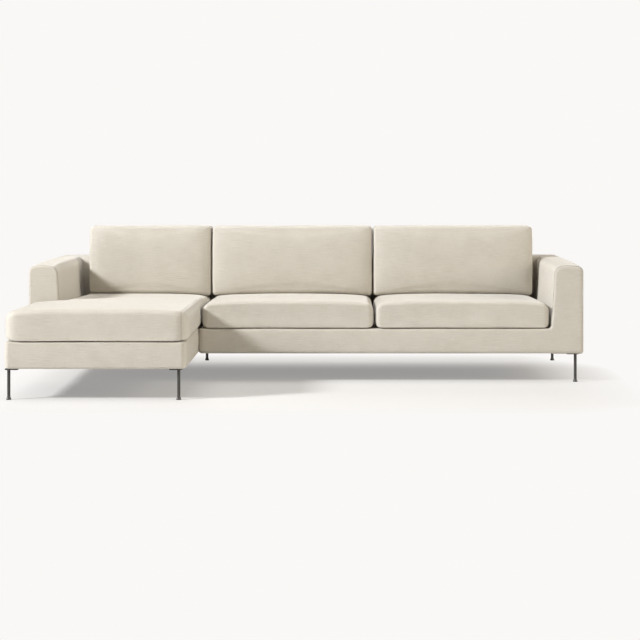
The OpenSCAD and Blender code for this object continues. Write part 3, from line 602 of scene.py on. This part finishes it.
def inflate(piece, held, cap):
    start = pointsOf(piece.data)
    group = piece.vertex_groups.new(name="held")
    group.add([int(i) for i in np.flatnonzero(held)], 1.0, "REPLACE")
    cloth = piece.modifiers.new("cloth", "CLOTH")
    own = cloth.settings
    own.quality = clothSet["quality"]
    own.mass = clothSet["mass"]
    own.tension_stiffness = own.compression_stiffness = clothSet["stiffness"]
    own.bending_stiffness = clothSet["bending"]
    own.use_pressure = True
    own.uniform_pressure_force = clothSet["pressure"]
    own.effector_weights.gravity = 0.0
    own.vertex_group_mass = "held"
    cloth.collision_settings.use_collision = False
    for number in range(1, clothSet["frames"] + 1):
        scene.frame_set(number)
    blown = evaluatedMesh(piece)
    move = pointsOf(blown) - start
    piece.modifiers.clear()
    piece.vertex_groups.clear()
    bpy.data.meshes.remove(blown)
    scene.frame_set(1)
    move = evened(piece.data, move, clothSet["rounds"])
    length = np.linalg.norm(move, axis=1, keepdims=True)
    setPoints(piece.data, start + move * np.minimum(1, cap / np.maximum(length, 1e-9)))
    print("cloth on", piece.name, "moved up to", round(float(length.max()) * 1000, 1), "mm")


# Smooth seeded wave along a line, between -1 and 1, for places from -6 to 6 m
class Wave:
    reach = 6

    def __init__(self, seed, step):
        self.step = step
        count = int(2 * self.reach / step) + 8
        self.values = np.random.default_rng(seed).uniform(-1, 1, count)

    def at(self, s):
        t = (np.asarray(s) + self.reach) / self.step
        i = np.clip(np.floor(t).astype(int), 0, len(self.values) - 2)
        f = smoothStep(t - i)
        return self.values[i] * (1 - f) + self.values[i + 1] * f


# Seams lie in planes. Each is a groove with small puckers on both sides and long ones farther out.
seamSet = {
    "width": 0.003,
    "depth": 0.0013,
    "pucker": 0.0011,     # height
    "reach": 0.016,       # of the small puckers
    "slack": 0.045,       # reach of the long ones
    "smallStep": 0.011,   # length of a small pucker
    "patchStep": 0.09,    # over which small puckers come and go
    "patchShift": 0.35,
    "longStep": 0.034,
    "longShare": 0.6,
    "fade": 0.01,         # at the ends of a seam
    "steepest": 0.04,     # least squared slope of the surface against the seam's plane
}
clothWaves = ((0.16, (1.0, 0.7, 0.0)), (0.13, (-0.6, 0.0, 1.3)))   # length, direction


def sewAndWrinkle(piece, seams, seed, soft):
    mesh = piece.data
    points, normals = pointsOf(mesh), pointsOf(mesh, "normal")
    sewn = np.zeros(len(points))
    push = np.zeros(len(points))
    for number, seam in enumerate(seams):
        c = {**seamSet, **seam}
        slope = np.sqrt(np.maximum(c["steepest"], 1 - normals[:, c["axis"]] ** 2))
        distance = np.abs(points[:, c["axis"]] - c["at"]) / slope
        run = sum(np.abs(points[:, i] - points[:, i].min()) for i in range(3) if i != c["axis"])
        inside = np.ones(len(points))
        for axis, low, high in c.get("only", []):
            inside *= smoothStep((points[:, axis] - low) / c["fade"])
            inside *= smoothStep((high - points[:, axis]) / c["fade"])
        groove = np.exp(-(distance / c["width"]) ** 2) * inside
        sewn = np.maximum(sewn, groove)
        small = Wave(seed + number, c["smallStep"]).at(run)
        patches = Wave(seed + 40 + number, c["patchStep"]).at(run)
        small = small * np.clip(patches + c["patchShift"], 0, 1)
        long = Wave(seed + 80 + number, c["longStep"]).at(run)
        near = np.exp(-distance / c["reach"]) * (1 - groove) * inside
        far = np.exp(-distance / c["slack"]) * inside
        push += c["pucker"] * (small * near + c["longShare"] * long * far) - c["depth"] * groove
    for number, (step, way) in enumerate(clothWaves):
        push += soft * Wave(seed + 200 + number, step).at(points @ np.array(way))
    setPoints(mesh, points + normals * push[:, None])
    # The groove's mask goes to the cloth material, which paints shade into the groove with it.
    stored = mesh.attributes.new("seam", "FLOAT", "POINT")
    stored.data.foreach_set("value", sewn.astype(np.float32))
    mesh.polygons.foreach_set("use_smooth", np.ones(len(mesh.polygons), bool))
    mesh.update()


def settle(piece, body, slot, nodes):
    dress(piece, slot)
    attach(piece, body)
    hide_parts(*nodes)
    print("made", piece.name, len(piece.data.polygons), "faces")


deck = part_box("sofa_deck_pad")[1].z
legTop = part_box("sofa_base_cover")[0].z
armLow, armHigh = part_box("right_arm_cover")
backLow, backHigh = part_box("sofa_back_cover")


# Seat cushions
seatSet = {
    "front": 0.148,       # height of the front edge over the deck
    "rear": 0.136,        # height where the back cushion stands
    "crown": 0.004,
    "drop": 0.017,        # fall of the top towards the ends
    "endEdge": 0.044,     # radius of the upper edges at the ends
    "frontEdge": 0.016,   # the same at the front
    "endFoot": 0.030,     # radius of the lower edges at the ends
    "frontFoot": 0.007,
    "corner": 0.036,      # seen from above
    "undercut": 0.003,    # gap to the base under the front edge
    "undercutFrom": 0.015,   # behind the front face, where the gap starts to close
    "undercutOver": 0.045,
    "pull": 0.002,        # of the sides between the corners
    "leftGusset": 0.006,  # from an end to its seam
    "rightGusset": 0.006,
    "seam": {"depth": 0.0008, "width": 0.0025},
    "waves": 0.0008,      # of the loose cloth
    "held": 0.012,        # height of the underside that the simulation holds
    "cap": 0.0022,        # greatest movement of the cloth simulation
    "proud": 0.0005,      # how far the cloth may stand out of the cushion's box
    "fill": 0.85,
}
chaiseSet = {
    **seatSet,
    "front": 0.165,
    "crown": 0.006,
    "frontEdge": 0.028,
    "endFoot": 0.032,
    "undercut": 0.004,
    "outerCorner": 0.072,
    "notchCorner": 0.024,
    "poleBefore": 0.1,    # from the notch to the middle of the rings
    "rightGusset": 0.038,
    "seam": {"depth": 0.0003, "width": 0.0022, "pucker": 0.0014},
}


# How far a point is from the middle of a cushion towards its ends, 0 to 1
def towardsEnds(x, low, high):
    return np.abs((2 * x - low.x - high.x) / (high.x - low.x))


def seatCushion(c, side, corners, centre, seed):
    low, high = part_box(side + "_seat_cushion")
    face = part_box("middle_back_cushion")[0].y

    def top(x, y):
        v = np.clip((y - low.y) / (face - low.y), 0, 1)
        level = deck + c["front"] + (c["rear"] - c["front"]) * v
        fall = c["drop"] * towardsEnds(x, low, high) ** 4
        return level + c["crown"] * np.sin(math.pi * v) - fall

    def underside(x, y):
        closing = smoothStep((y - low.y - c["undercutFrom"]) / c["undercutOver"])
        return low.z + c["undercut"] * (1 - closing)

    foot = lambda n: c["frontFoot"] + (c["endFoot"] - c["frontFoot"]) * np.abs(n[:, 0])
    edge = lambda n: c["frontEdge"] + (c["endEdge"] - c["frontEdge"]) * np.abs(n[:, 0])
    outline = roundedOutline(corners)
    points, faces = ringForm(outline, centre, underside, top, (foot, edge), c["pull"])
    cushion = subdivided(meshPiece(side + "_seat_cushion_cloth", points, faces))
    inflate(cushion, pointsOf(cushion.data)[:, 2] < low.z + c["held"], c["cap"])
    moved = pointsOf(cushion.data)
    moved[:, 2] = np.maximum(moved[:, 2], low.z)
    for axis in (0, 1):
        moved[:, axis] = np.clip(moved[:, axis], low[axis] - c["proud"], high[axis] + c["proud"])
    setPoints(cushion.data, moved)
    subdivided(cushion)
    seamPlaces = (low.x + c["leftGusset"], high.x - c["rightGusset"])
    seams = [{"axis": 0, "at": x, **c["seam"]} for x in seamPlaces]
    sewAndWrinkle(cushion, seams, seed, c["waves"])
    settle(cushion, side + "_seat", "cushion_fabric", [side + "_seat_cushion"])


# Corners of a rectangle, anticlockwise, all of one radius
def rectangle(x0, y0, x1, y1, radius):
    return [(x, y, radius) for x, y in ((x0, y0), (x1, y0), (x1, y1), (x0, y1))]


def straightSeat(c, side, seed):
    low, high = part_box(side + "_seat_cushion")
    corners = rectangle(low.x, low.y, high.x, high.y, c["corner"])
    seatCushion(c, side, corners, ((low.x + high.x) / 2, (low.y + high.y) / 2), seed)


def chaiseSeat(c, seed):
    low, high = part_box("chaise_seat_cushion")
    gap = armLow.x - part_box("right_seat_cushion")[1].x
    inner, notch = gap - armLow.x, armLow.y - gap
    corners = [
        (low.x, low.y, c["outerCorner"]), (high.x, low.y, c["outerCorner"]),
        (high.x, high.y, c["corner"]), (inner, high.y, c["corner"]),
        (inner, notch, c["notchCorner"]), (low.x, notch, c["corner"]),
    ]
    centre = ((inner + high.x) / 2, notch - c["poleBefore"])
    seatCushion(c, "chaise", corners, centre, seed)


# Back cushions, made lying flat as width, height and depth, then stood against the back panel
backSet = {
    "foot": 0.1378,       # height over the deck
    "thick": 0.138,       # at the corners
    "sideRise": 0.027,    # from the sides to the middle
    "topRise": 0.014,     # from the top and bottom to the middle
    "edge": 0.012,
    "sideEdge": 0.020,    # radius of the face's edges at the sides
    "footEdge": 0.024,    # radius of the face's lower edge
    "rearEdge": 0.014,
    "corner": 0.022,
    "height": 0.392,
    "seam": 0.010,        # from the face's edge to its seam
    "pucker": 0.0014,
    "waves": 0.0010,
    "held": 0.003,        # depth of the rear that the simulation holds
    "cap": 0.0026,
    "proud": 0.0005,
    "gap": 0.0004,        # to the back panel
    "fill": 0.7,
}
panelLean = 0.015         # of the back panel's face, from seat height to its top


def backCushion(c, side, seed):
    node = side + "_back_cushion"
    low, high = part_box(node)
    seatLow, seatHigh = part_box(side + "_seat_cushion")
    height, x0, x1 = c["height"], low.x, high.x
    centre = ((x0 + x1) / 2, height / 2)

    # The foot follows the seat cushion's fall towards its ends, and the rear the panel's lean
    def stand(p):
        rise = (1 - np.clip(p[:, 1] / height, 0, 1)) ** 2
        fall = seatSet["drop"] * towardsEnds(p[:, 0], seatLow, seatHigh) ** 4 * rise
        z = deck + c["foot"] + p[:, 1] - fall
        panel = backLow.y + panelLean - c["gap"] - panelLean * (armHigh.z - z) / (armHigh.z - deck)
        return np.column_stack([p[:, 0], panel - p[:, 2], z])

    def face(x, y):
        across, up = np.abs(x - centre[0]) * 2 / (x1 - x0), np.abs(y - centre[1]) / centre[1]
        return c["thick"] + c["sideRise"] * (1 - across ** 6) + c["topRise"] * (1 - up ** 3)

    def edge(normal):
        sideways, bottom = np.abs(normal[:, 0]), np.maximum(0, -normal[:, 1])
        radius = c["edge"] + (c["sideEdge"] - c["edge"]) * sideways
        return radius + (c["footEdge"] - c["edge"]) * bottom

    rear = lambda x, y: np.zeros(len(x))
    outline = roundedOutline(rectangle(x0, 0.0, x1, height, c["corner"]))
    points, faces = ringForm(outline, centre, rear, face, (c["rearEdge"], edge))
    cushion = subdivided(meshPiece(node + "_cloth", points, faces))
    inflate(cushion, pointsOf(cushion.data)[:, 2] < c["held"], c["cap"])
    moved = pointsOf(cushion.data)
    moved[:, 0] = np.clip(moved[:, 0], x0 - c["proud"], x1 + c["proud"])
    moved[:, 1] = np.clip(moved[:, 1], 0, height + 2 * c["proud"])
    moved[:, 2] = np.maximum(moved[:, 2], 0)
    setPoints(cushion.data, moved)
    subdivided(cushion)
    seam = {"axis": 2, "at": c["thick"] - c["seam"], "pucker": c["pucker"]}
    sewAndWrinkle(cushion, [seam], seed, c["waves"])
    setPoints(cushion.data, stand(pointsOf(cushion.data)))
    settle(cushion, side + "_back", "cushion_fabric", [node])


# Upholstered bodies: bases, arms and backs
bodySet = {
    "foot": 0.012,        # radius of the lower edges
    "lip": 0.009,         # radius of the base's upper edge
    "front": 0.028,       # radius of the bases' upright front edges
    "panel": 0.009,       # radius round the front panel of an arm
    "top": 0.032,
    "innerTop": 0.044,
    "crown": 0.008,       # of the arms' and backs' tops
    "sunk": 0.006,        # the front panels' upper edges under the highest part
    "rise": 0.007,        # of the arms' tops behind their front panels
    "cord": 0.0013,       # radius of the sewn edge round an arm's front panel
    # The cord's colour is painted shade: a seam's painted darkening at this share.
    "cordPaintedShade": 0.9,      # how dark it is, as a share of a seam
    "lean": 0.020,        # an arm's inner face, from seat height to its top
    "belly": 0.002,
    "heel": 0.006,        # radius of an arm's or back's lower inner edge
    "topBend": 0.3,       # radii of the soft bends in the outlines of arms and backs
    "faceBend": 0.2,
    "seatBend": 0.1,
    "bendDown": 0.09,     # from the top to the bend in an arm's inner face
    "bendIn": 0.004,
    "mitre": 0.003,       # edge radius where covers meet
    "hidden": 0.004,      # corner radius where a base meets its neighbours
    "waist": 0.42,        # height of the rings' middle in arms and backs
    "riseOver": 0.12,     # behind an arm's front panel
    "riseDepth": 0.07,    # below its top
    "overlap": 0.02,      # of the two-seat base into the right arm
    "seamOver": 0.005,    # the right arm's seam starts so far over the base
    "seamInside": 0.010,  # and so far inside the arm's inner face
    "voxel": 0.008,
    "smooth": 0.5,
    "waves": 0.0006,
    "sink": 0.006,        # where a deck pad or dust cloth covers the block
    "sinkReach": 0.008,
    "deckMargin": 0.026,  # of the deck pad and dust cloth round the left arm
    "dustMargin": 0.014,
    "fill": 0.95,
}
panelSeam = {"axis": 1, "pucker": 0.0012, "depth": 0.0010, "reach": 0.022}   # of an arm's front


def baseBlock(c, corners, centre):
    low = lambda x, y: np.full(len(x), legTop)
    high = lambda x, y: np.full(len(x), deck)
    radii = (c["foot"], c["lip"])
    return ringForm(roundedOutline(corners), centre, low, high, radii, belly=c["belly"])


def armBlock(c, side):
    footX, outX = armLow.x, armHigh.x
    innerX = footX + c["lean"]
    top = armHigh.z - c["sunk"]
    corners = [
        (footX, legTop, c["heel"]), (outX, legTop, c["foot"]), (outX, top, c["top"]),
        ((innerX + outX) / 2, top + c["crown"], c["topBend"]), (innerX, top, c["innerTop"]),
        (innerX - c["bendIn"], top - c["bendDown"], c["faceBend"]), (footX, deck, c["seatBend"]),
    ]
    rearAt = ([footX, innerX, outX], [backLow.y, backLow.y + panelLean, backHigh.y])
    mitre = lambda x, z: np.interp(x, *rearAt)
    front = lambda x, z: np.full(len(x), armLow.y)
    centre = ((innerX + outX) / 2, c["waist"])
    outline = roundedOutline(corners)
    radii = (c["panel"], c["mitre"])
    wall = softSet["armWall"]
    points, faces = ringForm(outline, centre, front, mitre, radii, belly=c["belly"], wall=wall)
    points = points[:, [0, 2, 1]] * [side, 1, 1]
    behind = smoothStep((points[:, 1] - armLow.y) / c["riseOver"])
    upper = smoothStep((points[:, 2] - top + c["riseDepth"]) / c["riseDepth"])
    points[:, 2] += c["rise"] * behind * upper
    edge = np.insert(outline[0], 1, armLow.y + c["panel"], axis=1) * [side, 1, 1]
    return points, [f[::-1] for f in faces] if side > 0 else faces, edge


# Round cord along a closed line that lies in a plane across Y
cordSides = 8


def sewnEdge(c, name, line):
    along = np.roll(line, -1, axis=0) - np.roll(line, 1, axis=0)
    along /= np.linalg.norm(along, axis=1, keepdims=True)
    rear = np.array([0.0, 1.0, 0.0])
    out = np.cross(along, rear)
    turns = np.linspace(0, 2 * math.pi, cordSides, endpoint=False)
    rings = [line + c["cord"] * (math.cos(t) * out + math.sin(t) * rear) for t in turns]
    points = np.vstack(rings)
    count = len(line)
    faces = []
    for j in range(cordSides):
        for i in range(count):
            a, b, k = j * count, (j + 1) % cordSides * count, (i + 1) % count
            faces.append((a + i, a + k, b + k, b + i))
    cord = meshPiece(name, points, faces)
    # Painted shade: the cord is darkened like a seam, so that it reads as a shaded line.
    stored = cord.data.attributes.new("seam", "FLOAT", "POINT")
    stored.data.foreach_set("value", np.full(len(points), c["cordPaintedShade"], np.float32))
    cord.data.shade_smooth()
    dress(cord, "base_fabric")
    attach(cord, "root")


def backBlock(c, x0, x1):
    y0, y1 = backLow.y, backHigh.y
    innerY = y0 + panelLean
    top = armHigh.z - c["sunk"] + c["rise"]
    corners = [
        (y0, legTop, c["heel"]), (y1, legTop, c["foot"]), (y1, top, c["top"]),
        ((innerY + y1) / 2, top + c["crown"], c["topBend"]), (innerY, top, c["innerTop"]),
        (y0, deck, c["seatBend"]),
    ]
    slant = lambda y: np.interp(y, [y0, innerY, y1], [armLow.x, armLow.x + c["lean"], armHigh.x])
    left = lambda y, z: -slant(y) if x0 <= -armHigh.x else np.full(len(y), x0)
    right = lambda y, z: slant(y) if x1 >= armHigh.x else np.full(len(y), x1)
    centre = ((innerY + y1) / 2, c["waist"])
    radii = (c["mitre"], c["mitre"])
    points, faces = ringForm(roundedOutline(corners), centre, left, right, radii, belly=c["belly"])
    return points[:, [2, 0, 1]], faces


def within(node):
    low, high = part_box(node)
    return lambda x, y: (x > low.x) & (x < high.x) & (y > low.y) & (y < high.y)


# Blocks that overlap become one piece. It sinks where a deck pad or a dust cloth lies on it.
def upholster(c, name, blocks, nodes, seams, seed, deckArea=None, dustArea=None):
    points, faces = blocks[0]
    for more, shape in blocks[1:]:
        faces = faces + [tuple(i + len(points) for i in f) for f in shape]
        points = np.vstack([points, more])
    piece = meshPiece(name, points, faces)
    if len(blocks) > 1:
        applied(piece, "REMESH", mode="VOXEL", voxel_size=c["voxel"])
        applied(piece, "SMOOTH", factor=c["smooth"], iterations=2)
    else:
        subdivided(piece)
    sewAndWrinkle(piece, seams, seed, c["waves"])
    points = pointsOf(piece.data)
    for area, height, way in ((deckArea, deck, -1), (dustArea, legTop, 1)):
        if area:
            near = np.abs(points[:, 2] - height) < c["sinkReach"]
            points[near & area(points[:, 0], points[:, 1]), 2] = height + way * c["sink"]
    setPoints(piece.data, points)
    settle(piece, "root", "base_fabric", nodes)


def makeBodies(c):
    chaiseLow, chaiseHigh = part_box("chaise_base_cover")
    sofaLow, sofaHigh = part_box("sofa_base_cover")
    footX, front, join, hidden = armLow.x, armLow.y, chaiseHigh.x, c["hidden"]
    corners = [
        (chaiseLow.x, chaiseLow.y, c["front"]), (join, chaiseLow.y, c["front"]),
        (join, chaiseHigh.y, hidden), (-footX, chaiseHigh.y, hidden),
        (-footX, front, hidden), (chaiseLow.x, front, hidden),
    ]
    besideArm = lambda x, y, margin: (x < -footX + margin) & (y > front - margin)
    inDeck, inDust = within("chaise_deck_pad"), within("chaise_dust_cover")
    deckArea = lambda x, y: inDeck(x, y) & ~besideArm(x, y, c["deckMargin"])
    dustArea = lambda x, y: inDust(x, y) & ~besideArm(x, y, c["dustMargin"])
    block = baseBlock(c, corners, ((join - footX) / 2, front - chaiseSet["poleBefore"]))
    upholster(c, "chaise_base_cloth", [block], ["chaise_base_cover"], [], 11, deckArea, dustArea)

    inArm = armHigh.x - c["overlap"]
    corners = [
        (sofaLow.x, sofaLow.y, c["front"]), (inArm, sofaLow.y, hidden),
        (inArm, sofaHigh.y, hidden), (sofaLow.x, sofaHigh.y, hidden),
    ]
    centre = ((sofaLow.x + sofaHigh.x) / 2, (sofaLow.y + sofaHigh.y) / 2)
    block = baseBlock(c, corners, centre)
    *rightArm, rightEdge = armBlock(c, 1)
    *leftArm, leftEdge = armBlock(c, -1)
    panel = {**panelSeam, "at": front + c["panel"]}
    fromX, fromZ = footX - c["seamInside"], deck + c["seamOver"]
    aboveSeat = {**panel, "only": [(0, fromX, math.inf), (2, fromZ, math.inf)]}
    upholster(
        c, "sofa_base_and_right_arm_cloth", [block, rightArm],
        ["sofa_base_cover", "right_arm_cover"], [aboveSeat], 23,
        within("sofa_deck_pad"), within("sofa_dust_cover"),
    )
    upholster(c, "left_arm_cloth", [leftArm], ["left_arm_cover"], [panel], 31)
    sewnEdge(c, "right_arm_seam", rightEdge)
    sewnEdge(c, "left_arm_seam", leftEdge)
    chaiseBack, sofaBack = backBlock(c, -armHigh.x, join), backBlock(c, join, armHigh.x)
    upholster(c, "chaise_back_cloth", [chaiseBack], ["chaise_back_cover"], [], 41)
    upholster(c, "sofa_back_cloth", [sofaBack], ["sofa_back_cover"], [], 43)


makeBodies(bodySet)
straightSeat(seatSet, "middle", 103)
straightSeat(seatSet, "right", 107)
chaiseSeat(chaiseSet, 109)
for seed, side in ((151, "chaise"), (157, "middle"), (163, "right")):
    backCushion(backSet, side, seed)


# Studio: pale floor that runs into a pale background, a far key lamp from the front left, a
# broad one from the front right, weak ones from above and behind, and a soft warm sky. The floor
# glows a little for the camera, more so away from the sofa, and keeps the sofa's shadow, lightened
# by this glow: painted light, most towards the rear and past the ends.
studioSet = {
    "floorSize": 60.0,
    "floor": (0.735, 0.728, 0.710, 1.0),
    "background": (0.956, 0.939, 0.922, 1.0),
    "skyTint": (1.0, 0.85, 0.66, 1.0),
    "skyStrength": 0.15,
    # The glow is painted light: under the sofa, towards the rear and past the ends it lightens the
    # sofa's shadow on the floor.
    "glow": 0.33,               # share of the floor's glow under the sofa
    "rearGlow": (0.45, 0.30, 0.95),   # more of it towards the rear: share, from and to on Y
    "sideGlow": (0.36, 1.25, 1.60),   # more of it past its ends: share, from and to on X
    "farGlow": 0.70,            # distance from the sofa at which the floor is background
    "half": (1.50, 0.80),       # half of the sofa's width and depth
}
lampSet = {
    "key": {
        "way": (0.80, 0.34, -0.52), "distance": 18.0, "size": 3.0,
        "power": 4180.0, "tint": (0.99, 1.0, 1.01),
    },
    "fill": {
        "way": (-0.92, 0.26, -0.36), "distance": 18.0, "size": 10.0,
        "power": 1690.0, "tint": (1.0, 0.93, 0.81),
    },
    "top": {
        "way": (0.1, 0.1, -1.0), "distance": 6.0, "size": 4.0,
        "power": 85.0, "tint": (0.92, 0.96, 1.04),
    },
    "rear": {
        "way": (0.15, -0.80, -0.60), "distance": 8.0, "size": 5.0,
        "power": 260.0, "tint": (1.0, 0.99, 0.97),
    },
}
aim = (-0.6, -0.2, 0.4)   # where every lamp points


# 1 for what the camera sees, also in gloss and through glass, and 0 for the light on the sofa
def cameraOnly(n):
    path = n.add("ShaderNodeLightPath").outputs
    seen = n.math("ADD", path["Is Camera Ray"], path["Is Glossy Ray"])
    return n.math("MINIMUM", n.math("ADD", seen, path["Is Transmission Ray"]), 1.0)


def makeStudio(c):
    half = c["floorSize"] / 2
    corners = [(x, y, 0) for x, y in ((-half, -half), (half, -half), (half, half), (-half, half))]
    floor = meshPiece("floor", corners, [(0, 1, 2, 3)])
    material, n, surface = newMaterial("studioFloor")
    place = n.axes("Object")
    away = [n.math("ABSOLUTE", place[i]) for i in (0, 1)]
    past = [n.math("MAXIMUM", n.math("SUBTRACT", away[i], c["half"][i]), 0.0) for i in (0, 1)]
    past = n.add("ShaderNodeVectorMath", {0: n.combine(*past, 0.0)}, operation="LENGTH")
    distance = past.outputs["Value"]
    # Painted light: the camera-only glow lightens the sofa's shadow on the floor, more so past the
    # ends and towards the rear.
    share, first, last = c["sideGlow"]
    glow = n.math("ADD", n.between(away[0], first, last, 0.0, share), c["glow"])
    share, first, last = c["rearGlow"]
    glow = n.math("ADD", glow, n.between(place[1], first, last, 0.0, share))
    glow = n.math("ADD", glow, n.between(distance, 0.0, c["farGlow"]))
    glow = n.math("MULTIPLY", n.math("MINIMUM", glow, 1.0), cameraOnly(n))
    matt = n.add("ShaderNodeBsdfDiffuse", {"Color": c["floor"]}).outputs[0]
    light = n.add("ShaderNodeEmission", {"Color": c["background"], "Strength": 1.0}).outputs[0]
    n.put(surface, n.add("ShaderNodeMixShader", {0: glow, 1: matt, 2: light}).outputs[0])
    floor.data.materials.append(material)

    world = bpy.data.worlds.new("sky")
    scene.world = world
    world.use_nodes = True
    world.node_tree.nodes.clear()
    n = Nodes(world.node_tree)
    end = n.add("ShaderNodeOutputWorld")
    sky = {"Color": c["skyTint"], "Strength": c["skyStrength"]}
    soft = n.add("ShaderNodeBackground", sky).outputs[0]
    shown = n.add("ShaderNodeBackground", {"Color": c["background"], "Strength": 1.0}).outputs[0]
    mixed = n.add("ShaderNodeMixShader", {0: cameraOnly(n), 1: soft, 2: shown}).outputs[0]
    n.put(end.inputs["Surface"], mixed)


def makeLamp(name, c):
    lamp = bpy.data.lights.new(name, "AREA")
    lamp.shape = "DISK"
    lamp.size = c["size"]
    lamp.energy = c["power"]
    lamp.color = c["tint"]
    piece = bpy.data.objects.new(name, lamp)
    way = np.array(c["way"]) / np.linalg.norm(c["way"])
    piece.location = np.array(aim) - way * c["distance"]
    piece.rotation_euler = (-Vector(way)).to_track_quat("Z", "Y").to_euler()
    scene.collection.objects.link(piece)


for name, values in lampSet.items():
    makeLamp(name, values)
makeStudio(studioSet)
print("studio made")
